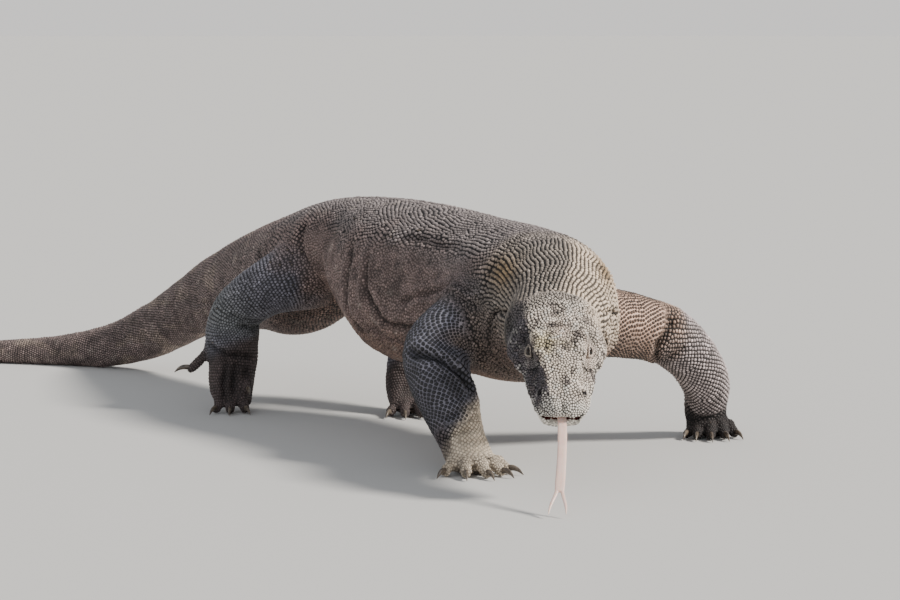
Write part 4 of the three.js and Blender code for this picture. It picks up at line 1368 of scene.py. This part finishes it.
# %% The mosaic of roots
# region: slot, pitch along, spacing round, height, fill along, fill round, shuffle, row offset
COATS = {
    "neck": ("body_hide", 7.2, 7.4, 2.2, 0.95, 0.76, 0.05, 0.0),
    "nape": ("head_hide", 5.8, 6.0, 1.2, 0.93, 0.80, 0.05, 0.0),
    "chest": ("body_hide", 7.4, 7.6, 2.2, 0.94, 0.78, 0.06, 0.0),
    "back_front": ("body_hide", 7.6, 7.8, 2.2, 0.92, 0.80, 0.06, 0.5),
    "back_rear": ("body_hide", 7.2, 7.2, 1.9, 0.90, 0.84, 0.08, 0.5),
    "flank_front": ("body_hide", 5.2, 5.0, 1.0, 0.90, 0.90, 0.14, 0.5),
    "flank_rear": ("body_hide", 5.2, 5.0, 1.0, 0.90, 0.90, 0.14, 0.5),
    "hips": ("body_hide", 6.2, 6.2, 1.5, 0.88, 0.86, 0.10, 0.5),
    "tail_base": ("tail_hide", 6.0, 5.6, 1.2, 0.90, 0.88, 0.10, 0.5),
    "tail_middle": ("tail_hide", 6.0, 5.2, 1.1, 0.90, 0.88, 0.10, 0.5),
    "tail_end": ("tail_hide", 5.6, 4.6, 0.9, 0.90, 0.88, 0.08, 0.5),
    "arm_right": ("limb_hide", 4.5, 9.0, 1.2, 0.92, 0.92, 0.05, 0.5),
    "arm_left": ("limb_hide", 4.4, 8.2, 1.6, 0.82, 0.84, 0.06, 0.5),
    "leg_right": ("limb_hide", 5.4, 5.2, 1.2, 0.94, 0.95, 0.10, 0.5),
    "leg_left": ("limb_hide", 5.4, 5.2, 1.2, 0.94, 0.95, 0.10, 0.5),
    "toes": ("limb_hide", 4.6, 4.6, 1.0, 0.90, 0.94, 0.08, 0.5),
    "head": ("head_hide", 3.9, 3.9, 0.9, 0.91, 0.91, 0.0, 0.5),
    "jaw": ("head_hide", 4.8, 4.8, 0.7, 0.92, 0.92, 0.0, 0.5),
}
STRETCHES = [  # region, loft, from t, to t
    ("neck", body, 0.0, 3.1), ("chest", body, 3.1, 5.5), ("back_front", body, 5.5, 7.8),
    ("back_rear", body, 7.8, 10.5), ("hips", body, 10.5, 13.0), ("tail_base", body, 13.0, 15.6),
    ("tail_middle", body, 15.6, 18.4), ("tail_end", body, 18.4, 24.0),
    ("flank_front", body, 2.1, 6.2), ("flank_rear", body, 6.2, 11.0)]
BODY_STRETCHES = len(STRETCHES)
STRETCHES += [(name, limbs[name], 0.3, limbs[name].last) for name in limbs]
STRETCHES += [("toes", flesh, 0.2, flesh.last) for flesh in toes.values()]
STRETCHES += [("neck", skull, 0.1, 1.2), ("nape", skull, 1.2, 2.9)]
REGIONS = list(COATS)
CREST = STRETCHES[2:8]  # back and tail, which carry the crest
CREST_STEP, CREST_APART, CREST_SWELL = 6.4, 3.0, 1.7
ROW_ROOM, SCATTER_ROOM, GRANULE_ROOM = 0.62, 0.88, 0.80  # least distance, in pitches
LABIAL = (6.0, 5.6, 1.25)  # the row on the lips: spacing, least distance, swell
taken, cell = {}, 8.0  # roots by cubes of 8 mm


def room_at(spot, near):
    """True if no root lies nearer than the square root of near."""
    x, y, z = (int(v // cell) for v in spot)
    for i in (x - 1, x, x + 1):
        for j in (y - 1, y, y + 1):
            for k in (z - 1, z, z + 1):
                for a, b, c in taken.get((i, j, k), ()):
                    if (spot[0] - a) ** 2 + (spot[1] - b) ** 2 + (spot[2] - c) ** 2 < near:
                        return False
    taken.setdefault((x, y, z), []).append(spot)
    return True


kept = {"spot": [], "face": [], "along": [], "region": [], "swell": []}


def let_in(spots, faces, alongs, region, near, swell=1.0):
    """Take the roots that have room. near is the least distance, one value or one each."""
    near = np.broadcast_to(near, len(spots)) ** 2
    good = [k for k, spot in enumerate(spots.tolist()) if room_at(spot, near[k])]
    kept["spot"].append(spots[good])
    kept["face"].append(faces[good])
    kept["along"].append(alongs[good])
    kept["region"].append(np.full(len(good), REGIONS.index(region)))
    kept["swell"].append(np.full(len(good), swell))
    return len(good)


# %% Crest, rows and granules
crest_t = np.interp(np.arange(spine_mm(6.0), spine_mm(23.6), CREST_STEP), reeled, reel)
for sway in (-0.06, 0.06):
    crest = drop_on_skin(body, crest_t, np.pi / 2 + sway * (1 - 0.6 * step(crest_t, 14, 20)), 0.1)
    for region, _, t_from, t_to in CREST:
        here = (crest["t"] >= t_from) & (crest["t"] < t_to)
        let_in(crest["spot"][here], crest["face"][here], crest["along"][here], region,
               CREST_APART, CREST_SWELL)
for region, flesh, t_from, t_to in STRETCHES:
    _, pitch, spacing, _, _, _, shuffle, offset = COATS[region]
    roots, step_t = rows_of_scales(flesh, t_from, t_to, pitch, spacing, offset)
    where = flesh.point(roots[:, 0], roots[:, 1])
    if flesh is body:
        low = flank_share(roots[:, 0], roots[:, 1], 9) + 0.6 * wave_noise(where, 13, 33) > 0.5
        roots, where = (values[low == region.startswith("flank")] for values in (roots, where))
    if flesh is skull:
        fades = 2.3 + 0.6 * wave_noise(where, 16, 34)
        above = (np.sin(roots[:, 1]) > 0.05) & (roots[:, 0] < fades)
        roots, where = roots[above], where[above]
    stir = rng.normal(0, shuffle, (len(roots), 2))
    stir += 0.7 * np.stack([wave_noise(where, 50, 30), wave_noise(where, 50, 31)], 1)
    found = drop_on_skin(flesh, np.clip(roots[:, 0] + stir[:, 0] * step_t, 0, flesh.last),
                         roots[:, 1] + stir[:, 1] * spacing / flesh.rows[:, 3].mean(), step_t)
    let_in(found["spot"], found["face"], found["along"], region, ROW_ROOM * min(pitch, spacing))

# %% Scales of the head
forward = head_place.turn[:, 1]
face_middle = head_mm(skin[face_points].mean(1))
aside, ahead = np.abs(face_middle[:, 0]), face_middle[:, 1]
head_gap = COATS["head"][1] + 0.6 * bump(aside, 27, 9) * bump(ahead, 92, 22)
head_gap += 0.7 * step(aside, 44, 60) - 0.5 * step(ahead, 180, 200)
head_gap += 0.9 * (1 - step(ahead, 20, 70))
for side in (1, -1):
    _, far, opening, _ = round_eye(face_middle, side)
    head_gap -= np.where(far < LID_REACH, 2.2 * (1 - step(opening, 1.4, 3.0)), 0)
face_bare = bare[face_points].any(1)
for name, flesh_name in (("head", "skull"), ("jaw", "jaw")):
    open_faces = np.nonzero((face_owner == OWNER[flesh_name]) & ~face_bare)[0]
    if name == "head":
        labial = np.abs(face_middle[open_faces, 2] - 4.0) < 0.9
        gap = head_gap
    else:
        in_place = jaw_place.back(skin[face_points[open_faces]].mean(1))
        labial = np.abs(in_place[:, 2] + 6.5) < 0.9
        gap = np.full(polygon_count, COATS["jaw"][1])
    labial &= ahead[open_faces] > MOUTH_CORNER
    spots, faces = scatter(open_faces[labial], np.full(polygon_count, LABIAL[0]), 30)
    let_in(spots, faces, np.tile(forward, (len(spots), 1)), name, *LABIAL[1:])
    spots, faces = scatter(open_faces, gap, 16)
    let_in(spots, faces, np.tile(forward, (len(spots), 1)), name, gap[faces] * SCATTER_ROOM)

# %% Granules in bare places
REGION_OF = {OWNER["skull"]: "head", OWNER["jaw"]: "jaw"}
REGION_OF.update({OWNER[flesh.name]: "toes" for flesh in toes.values()})
REGION_OF.update({OWNER[name]: name for name in limbs})
region_of = np.array([REGIONS.index(REGION_OF.get(k, "neck")) for k in range(len(fleshes))])
region_here = region_of[owner]
for region, _, t_from, t_to in STRETCHES[:BODY_STRETCHES]:
    here = (owner == OWNER["body"]) & (t >= t_from) & (t <= t_to)
    if region.startswith("flank"):
        here &= flank_share(t, angle) > 0.5
    region_here[here] = REGIONS.index(region)
point_face = np.zeros(count, int)
point_face[face_points[:, 0]] = np.arange(polygon_count)
axis_of = {k: flesh.bone(np.array([flesh.last / 2]))[1][0] for k, flesh in enumerate(fleshes)}
filled = 0
for k, region in enumerate(REGIONS):
    open_here = (region_here == k) & ~bare & ~gum & ((mean_edge > 2) | (owner == OWNER["body"]))
    here = rng.permutation(np.nonzero(open_here)[0])
    alongs = np.array([axis_of[o] for o in owner[here]]).reshape(-1, 3)
    apart = GRANULE_ROOM * math.sqrt(COATS[region][1] * COATS[region][2])
    filled += let_in(skin[here], point_face[here], alongs, region, apart)
roots = {key: np.concatenate(value) for key, value in kept.items()}
print(len(roots["spot"]), "scales, of which", filled, "granules")

# %% [markdown]
# ## The shape of one scale
# A scale is a low dome: a foot sunk in the skin, a shoulder ring and a crown point, seventeen
# corners in all. Its outline reaches halfway to each neighbour, less the groove, so scales in rows
# come out as neat bricks and scattered ones as a mosaic. All scales of a region are one mesh,
# because thousands of loose objects would be slow to draw and to hand on.

# %% Outlines halfway to the neighbours
total = len(roots["spot"])
out = unit(of_face(normals, roots["face"]))
along = unit(roots["along"] - out * (roots["along"] * out).sum(1)[:, None])
across = np.cross(out, along)
tree = KDTree(total)
for k, spot in enumerate(roots["spot"].tolist()):
    tree.insert(spot, k)
tree.balance()
NEIGHBOURS = 10
near_ones = np.array([[found[1] for found in tree.find_n(spot, NEIGHBOURS + 1)][1:]
                      for spot in roots["spot"].tolist()])
CORNERS = 8
TURNS = np.arange(CORNERS) * 2 * np.pi / CORNERS
away = roots["spot"][near_ones] - roots["spot"][:, None]
flat = np.stack([(away * along[:, None]).sum(2), (away * across[:, None]).sum(2)], 2)
toward = flat @ np.stack([np.cos(TURNS), np.sin(TURNS)])
half = (flat ** 2).sum(2)[:, :, None] / 2
reach = np.where(toward > 1e-6, half / np.maximum(toward, 1e-6), ANYWHERE).min(1)
table = np.array([COATS[region][1:] for region in REGIONS])[roots["region"]]
on_head = np.isin(roots["region"], [REGIONS.index("head"), REGIONS.index("jaw")])
widest = np.where(on_head, 0.9, 0.62)[:, None]  # in pitches, where a neighbour is missing
reach = np.minimum(reach, widest * np.maximum(table[:, :1], table[:, 1:2]))
size = reach.mean(1)
reach = np.minimum(reach, 1.2 * size[:, None])
lower = np.clip(2 * size / np.sqrt(table[:, 0] * table[:, 1]), 0.45, 1.15)  # for small ones
tall = table[:, 2] * lower * roots["swell"]
tall *= 1 + 0.1 * rng.normal(0, 1, total)
outline = np.stack([reach * np.cos(TURNS) * table[:, 3:4],
                    reach * np.sin(TURNS) * table[:, 4:5]], 2)
print("mean reach", round(float(size.mean()), 2), "mm")

# %% Colour of each scale
under = of_face(colour, roots["face"])
masks_under = of_face(masks, roots["face"])
# painted glints and random tone: scales brighter and darker in patches about 11 mm across
glint_patches = wave_noise(roots["spot"], 11, 32)[:, None]
spread = 1 + 0.2 * rng.normal(0, 1, (total, 1)) + 0.2 * glint_patches
spread[on_head] = 1 + 0.2 * rng.normal(0, 1, (on_head.sum(), 1))
spread = spread.clip(0.45, 1.6)
spread[rng.random(total) < 0.02] = 1.8  # specks of dust and loose horn
BRIGHTEST = 0.88


def below_white(values):
    """Dim the brightest colours without changing their hue."""
    return values * np.minimum(1, BRIGHTEST / values.max(1, keepdims=True))


# crowns take the top tone, with painted glints on plain hide
top_colour = below_white(under * spread * toned(masks_under, TOP))
rim_colour = below_white(under * toned(masks_under, RIM))
shoulder_colour = rim_colour + (top_colour - rim_colour) * (0.75 + 0.25 * masks_under[:, :1])
shoulder_at = 0.74 + 0.14 * masks_under[:, :1]  # its width, as a share of the foot's

# %% Meshes of scales
DOME_FACES = np.array(
    [[k, (k + 1) % CORNERS, CORNERS + (k + 1) % CORNERS] for k in range(CORNERS)]
    + [[k, CORNERS + (k + 1) % CORNERS, CORNERS + k] for k in range(CORNERS)]
    + [[CORNERS + k, CORNERS + (k + 1) % CORNERS, 2 * CORNERS] for k in range(CORNERS)])
EACH = 2 * CORNERS + 1  # corners of one dome
FOOT, SHOULDER, CROWN_POINT = slice(0, CORNERS), slice(CORNERS, 2 * CORNERS), 2 * CORNERS
FOOT_DEPTH, SHOULDER_HEIGHT = -0.7, 0.62  # as shares of the scale's height
LOWEST = 0.05  # mm above the floor
PATCH = 0.0015  # half size of one scale's patch on the bake map
coat_pieces = []


def chart_places(faces):
    """Where roots lie on the unwrap of the skin: along and round their own flesh."""
    who = face_owner[faces]
    flat_t = of_face(t, faces) / np.array([flesh.last for flesh in fleshes])[who]
    turn = of_face(np.stack([np.cos(angle), np.sin(angle)], 1), faces)
    flat_angle = (np.arctan2(turn[:, 1], turn[:, 0]) / (2 * np.pi)) % 1
    return flat_t, flat_angle, who


def domes(chosen):
    """Corners of the chosen scales, in millimetres."""
    shape = np.zeros((len(chosen), EACH, 3))
    shape[:, FOOT, :2] = outline[chosen]
    shape[:, SHOULDER, :2] = outline[chosen] * shoulder_at[chosen, None]
    shape[:, FOOT, 2] = FOOT_DEPTH * tall[chosen, None]
    shape[:, SHOULDER, 2] = SHOULDER_HEIGHT * tall[chosen, None]
    shape[:, CROWN_POINT, 2] = tall[chosen]
    corners = (roots["spot"][chosen][:, None] + along[chosen][:, None] * shape[..., :1]
               + across[chosen][:, None] * shape[..., 1:2] + out[chosen][:, None] * shape[..., 2:])
    corners[..., 2] = np.maximum(corners[..., 2], LOWEST)
    return corners.reshape(-1, 3)


def bake_map(chosen):
    """A small patch for every scale, at its root's place on the unwrap of the skin."""
    flat_t, flat_angle, who = chart_places(roots["face"][chosen])
    low, high = flat_t.min(), flat_t.max()
    strips = np.unique(who)
    lane = np.searchsorted(strips, who)
    middle = np.stack([0.02 + 0.96 * (flat_t - low) / max(high - low, 1e-6),
                       (lane + 0.03 + 0.94 * flat_angle) / len(strips)], 1)
    longest = np.maximum(np.abs(outline[chosen]).max((1, 2), keepdims=True), 1e-6)
    patch = outline[chosen] / longest * PATCH
    crown = np.zeros((len(chosen), 1, 2))
    return (np.concatenate([patch, patch * 0.74, crown], 1) + middle[:, None]).reshape(-1, 2)


def plant(name, chosen):
    """One mesh from the chosen roots. Returns the number of its triangles."""
    number = len(chosen)
    data = bpy.data.meshes.new(name)
    data.vertices.add(number * EACH)
    data.vertices.foreach_set("co", to_world(domes(chosen)).ravel())
    triangles = (DOME_FACES[None] + (np.arange(number) * EACH)[:, None, None]).reshape(-1, 3)
    data.loops.add(triangles.size)
    data.loops.foreach_set("vertex_index", triangles.ravel())
    data.polygons.add(len(triangles))
    data.polygons.foreach_set("loop_start", np.arange(0, triangles.size, 3))
    smooth_shaded(data)
    data.update(calc_edges=True)
    tint = np.repeat(top_colour[chosen][:, None], EACH, 1)
    tint[:, FOOT] = rim_colour[chosen][:, None]
    tint[:, SHOULDER] = shoulder_colour[chosen][:, None]
    layer = data.color_attributes.new("hide", "FLOAT_COLOR", "POINT")
    layer.data.foreach_set("color", np.dstack([tint, np.ones((number, EACH, 1))]).ravel())
    chart = data.uv_layers.new(name="OFBake")
    chart.data.foreach_set("uv", bake_map(chosen)[triangles.ravel()].ravel())
    piece = add_object(name, data)
    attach(piece, "root")
    coat_pieces.append(piece)
    print(name, number, "scales,", len(triangles), "triangles")
    return len(triangles)


coat_total = 0
for k, region in enumerate(REGIONS):
    chosen = np.nonzero(roots["region"] == k)[0]
    coat_total += plant(f"scales_{region}", chosen)
print("coat:", coat_total, "triangles")

# %% [markdown]
# ## The hide's material
# Scales are horn over leather: matt in the grooves, faintly glossy on the crowns. A coarse noise
# breaks up the painted colour and the gloss, and a fine bump gives each scale a worn, dusty face.


# %% Helpers for materials
def new_material(name):
    """A material with its nodes, its links and its main shader."""
    material = bpy.data.materials.new(name)
    material.use_nodes = True
    nodes, links = material.node_tree.nodes, material.node_tree.links
    return material, nodes, links, nodes["Principled BSDF"]


def put(node, **values):
    """Set inputs of a node. From_Min stands for the input named From Min."""
    for key, value in values.items():
        node.inputs[key.replace("_", " ")].default_value = value


def noise_node(nodes, links, scale, detail):
    """Noise in the object's own space, scale in waves for a metre."""
    where, noise = nodes.new("ShaderNodeTexCoord"), nodes.new("ShaderNodeTexNoise")
    put(noise, Scale=scale, Detail=detail)
    links.new(where.outputs["Object"], noise.inputs["Vector"])
    return noise


def bump_from(nodes, links, noise, shader, strength, distance):
    """Small bumps, distance in metres."""
    relief_node = nodes.new("ShaderNodeBump")
    put(relief_node, Strength=strength, Distance=distance)
    links.new(noise.outputs["Fac"], relief_node.inputs["Height"])
    links.new(relief_node.outputs["Normal"], shader.inputs["Normal"])


def two_tones(nodes, links, noise, shader, dark, pale):
    """Base colour between two tones, each a place on the noise and a colour."""
    ramp = nodes.new("ShaderNodeValToRGB")
    for element, (place, tone) in zip(ramp.color_ramp.elements, (dark, pale)):
        element.position = place
        element.color = (*tone, 1)
    links.new(noise.outputs["Fac"], ramp.inputs["Fac"])
    links.new(ramp.outputs["Color"], shader.inputs["Base Color"])


# %% Hide material
def hide_material(name, rough, fine_bump):
    material, nodes, links, shader = new_material(name)
    painted = nodes.new("ShaderNodeAttribute")
    painted.attribute_name = "hide"
    dust = noise_node(nodes, links, 42, 6)
    shade_range = nodes.new("ShaderNodeMapRange")
    put(shade_range, From_Min=0.3, From_Max=0.7, To_Min=0.8, To_Max=1.22)
    links.new(dust.outputs["Fac"], shade_range.inputs["Value"])
    shade = nodes.new("ShaderNodeVectorMath")
    shade.operation = "SCALE"
    links.new(painted.outputs["Color"], shade.inputs[0])
    links.new(shade_range.outputs["Result"], shade.inputs["Scale"])
    links.new(shade.outputs["Vector"], shader.inputs["Base Color"])
    bump_from(nodes, links, noise_node(nodes, links, 700, 3), shader, fine_bump, 0.0006)
    rough_range = nodes.new("ShaderNodeMapRange")
    put(rough_range, To_Min=rough - 0.1, To_Max=rough + 0.15)
    links.new(dust.outputs["Fac"], rough_range.inputs["Value"])
    links.new(rough_range.outputs["Result"], shader.inputs["Roughness"])
    put(shader, Specular_IOR_Level=0.4)
    return material


leather = hide_material("hide_between_scales", 0.75, 0.5)
horny = hide_material("horny_scales", 0.52, 0.35)
skin_object.data.materials.append(leather)
for piece in coat_pieces:
    piece.data.materials.append(horny)

# %% [markdown]
# ## Eyes
# The eyeball is a ball with a slightly steeper cornea in front. Its colour needs only the angle
# from its axis: a round black pupil, a dark brown iris and a nearly black rim, under a wet coat.


# %% Eyeballs
def eyeball(side):
    """A ball about the eye's axis that keeps, at each point, the angle from that axis."""
    centre, axis, length, rise = eye_frame(side)
    rings, sides = 40, 48
    theta = np.repeat(np.linspace(0.02, np.pi - 0.02, rings + 1), sides)
    phi = np.tile(np.arange(sides) * 2 * np.pi / sides, rings + 1)
    radius = EYE["radius"] * (1 + 0.05 * bump(theta, 0, 0.45))
    own = centre + radius[:, None] * (
        axis * np.cos(theta)[:, None]
        + np.sin(theta)[:, None] * (length * np.cos(phi)[:, None] + rise * np.sin(phi)[:, None]))
    faces = ring_quads(rings, sides)
    if side > 0:
        faces = [face[::-1] for face in faces]
    faces.append(list(range(sides))[::-1 if side > 0 else 1])
    data = mesh_of("eyeball", to_world(head_place.forth(own)), faces)
    layer = data.attributes.new("from_axis", "FLOAT", "POINT")
    layer.data.foreach_set("value", theta[:len(data.vertices)])
    smooth_shaded(data)
    return data


PUPIL, EYE_RIM = (0.004, 0.003, 0.003), (0.006, 0.004, 0.003)
IRIS_IN, IRIS_OUT = (0.022, 0.011, 0.006), (0.034, 0.017, 0.008)


def eye_material():
    material, nodes, links, shader = new_material("eye_wet")
    from_axis = nodes.new("ShaderNodeAttribute")
    from_axis.attribute_name = "from_axis"
    two_tones(nodes, links, from_axis, shader, (0.0, PUPIL), (1.0, EYE_RIM))
    ring = shader.inputs["Base Color"].links[0].from_node.color_ramp.elements
    for place, tone in ((0.13, PUPIL), (0.15, IRIS_IN), (0.26, IRIS_OUT), (0.31, EYE_RIM)):
        ring.new(place).color = (*tone, 1)
    put(shader, Roughness=0.12, Specular_IOR_Level=0.2, Coat_Weight=0.12, Coat_Roughness=0.05)
    return material


wet = eye_material()
for side, name in ((1, "eye_right"), (-1, "eye_left")):
    ball = add_object(f"eyeball_{name[4:]}", eyeball(side))
    ball.data.materials.append(wet)
    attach(ball, "root")
    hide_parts(name)

# %% [markdown]
# ## Claws
# A claw is a hooked cone, flatter from side to side than from top to bottom, with fine growth lines
# along it. The same small lofts as in the solids are used, with more rings and a sharper point.

# %% Claws
CLAW_RINGS, CLAW_SIDES = 18, 16
FLATTER = 0.3  # of a claw's width is taken off
claw_nets = []
for flesh in horns.values():
    points, faces = net(flesh, CLAW_RINGS, CLAW_SIDES)
    ring_t = np.repeat(np.linspace(0, flesh.last, CLAW_RINGS + 1), CLAW_SIDES)
    row, _, across_claw, _ = flesh.bone(ring_t)
    wall = points[:-2]
    sideways = ((wall - row[:, :3]) * across_claw).sum(1)
    points[:-2] = wall - across_claw * (FLATTER * sideways)[:, None]
    points[:, 2] = np.maximum(points[:, 2], LOWEST)
    claw_nets.append((points, faces))
points, faces = join_nets(claw_nets)
claws = add_object("claws", mesh_of("claws", to_world(points), faces))
smooth_shaded(claws.data)
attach(claws, "root")
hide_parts(*(f"claw_{name}" for name in horns))


def claw_material():
    material, nodes, links, shader = new_material("claw_horn")
    streak = noise_node(nodes, links, 160, 4)
    two_tones(nodes, links, streak, shader, (0.35, srgb(52, 44, 40)), (0.72, srgb(124, 112, 98)))
    bump_from(nodes, links, streak, shader, 0.3, 0.0004)
    put(shader, Roughness=0.35)
    return material


claws.data.materials.append(claw_material())

# %% [markdown]
# ## Tongue
# The forked tongue is a flat strap, pinkish white and wet. Light passes a little way into it,
# which the shader's subsurface setting gives.

# %% Tongue
TONGUE = {"half": 7.0, "thick": 5.0, "lips": 214.0, "fork": 338.0, "tip": 386.0,
          "sway": 15.0, "droop": 17.0}
TONGUE_VOXEL = 0.0007  # metres
PRONG_SPREAD = 13  # mm from the middle to a prong's tip


def tongue_row(across, along, half, thick):
    """A station of the tongue, which sways aside and droops the further it is out."""
    out = max((along - TONGUE["lips"]) / (TONGUE["tip"] - TONGUE["lips"]), 0)
    x = across + TONGUE["sway"] * out ** 1.5
    return (x, along, -5 - TONGUE["droop"] * out ** 1.5, half, thick, thick)


half, thick, fork, tip = TONGUE["half"], TONGUE["thick"], TONGUE["fork"], TONGUE["tip"]
tongue_parts = [Flesh("blade", [
    tongue_row(0, 112, half * 0.8, thick * 0.35), tongue_row(0, 214, half, thick / 2),
    tongue_row(0, 276, half, thick / 2), tongue_row(0, fork, half * 1.05, thick / 2),
    tongue_row(0, fork + 6, half * 0.55, thick * 0.36)], RIGHT, full=2.5, place=head_place)]
for side in (-1, 1):
    tongue_parts.append(Flesh("prong", [
        tongue_row(side * half * 0.45, fork - 9, half * 0.42, thick * 0.42),
        tongue_row(side * half * 0.66, fork + 9, half * 0.4, thick * 0.4),
        tongue_row(side * PRONG_SPREAD * 0.85, (fork + tip) / 2 + 8, half * 0.3, thick * 0.3),
        tongue_row(side * PRONG_SPREAD, tip, half * 0.1, thick * 0.14)],
        RIGHT, full=2.3, place=head_place))
points, faces = join_nets(net(part, 40, 24) for part in tongue_parts)
strap = add_object("tongue_strap", mesh_of("tongue_strap", to_world(points), faces))
tongue_mesh = melt_down(strap, TONGUE_VOXEL)
tongue = add_object("tongue_strap", tongue_mesh)
ease = tongue.modifiers.new("ease", "SMOOTH")
ease.factor = 0.5
ease.iterations = 4
smooth_shaded(tongue_mesh)
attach(tongue, "root")
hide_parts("tongue")


def tongue_material():
    material, nodes, links, shader = new_material("tongue_wet")
    blush = noise_node(nodes, links, 60, 2)
    two_tones(nodes, links, blush, shader, (0, srgb(212, 176, 164)), (1, srgb(234, 208, 196)))
    put(shader, Roughness=0.3, Subsurface_Weight=0.25, Subsurface_Radius=(0.004, 0.002, 0.001))
    return material


tongue_mesh.materials.clear()
tongue_mesh.materials.append(tongue_material())

# %% [markdown]
# ## Floor, light and camera
# A pale floor, a warm lamp high in front and to one side, a wide, weak one from the other side, and
# a sky that is brightest at the horizon, so that it meets the floor without an edge. The camera
# stands low in front of the animal's right shoulder, with a long lens.

# %% Floor
bpy.ops.mesh.primitive_plane_add(size=4000, location=(0, 0, 0))
floor = bpy.context.object
floor.name = "floor"
plain, _, _, floor_shader = new_material("plain_floor")
put(floor_shader, Base_Color=(0.56, 0.55, 0.53, 1), Roughness=0.9)
floor.data.materials.append(plain)


# %% Lights and camera
def soft_light(name, toward, spread, power, tint):
    """A distant lamp. toward points from the animal to the lamp, spread is its size in the sky."""
    lamp = bpy.data.lights.new(name, "SUN")
    lamp.angle = math.radians(spread)
    lamp.energy = power
    lamp.color = tint
    light = add_object(name, lamp)
    light.location = toward
    light.rotation_euler = Vector(toward).to_track_quat("Z", "Y").to_euler()


soft_light("key", (2.2, -2.45, 2.7), 11, 5.7, (1.0, 0.96, 0.9))
soft_light("fill", (-3.5, -2.5, 2.2), 60, 0.6, (0.88, 0.93, 1.0))
sky = bpy.data.worlds.new("sky")
bpy.context.scene.world = sky
sky.use_nodes = True
nodes, links = sky.node_tree.nodes, sky.node_tree.links
direction = nodes.new("ShaderNodeTexCoord")
height = nodes.new("ShaderNodeSeparateXYZ")
haze = nodes.new("ShaderNodeValToRGB")
haze.color_ramp.elements[0].position = 0.03
haze.color_ramp.elements[0].color = (0.92, 0.90, 0.88, 1)
haze.color_ramp.elements[1].position = 0.3
haze.color_ramp.elements[1].color = (0.46, 0.48, 0.51, 1)
links.new(direction.outputs["Generated"], height.inputs["Vector"])
links.new(height.outputs["Z"], haze.inputs["Fac"])
links.new(haze.outputs["Color"], nodes["Background"].inputs["Color"])
lens = bpy.data.cameras.new("camera")
lens.lens = 112
lens.sensor_width = 36
lens.clip_end = 3000
camera = add_object("camera", lens)
camera.location = (-2.5877, -4.5748, 0.698)
camera.rotation_euler = (math.radians(90 - 5.4065), 0, math.radians(-33))
bpy.context.scene.camera = camera
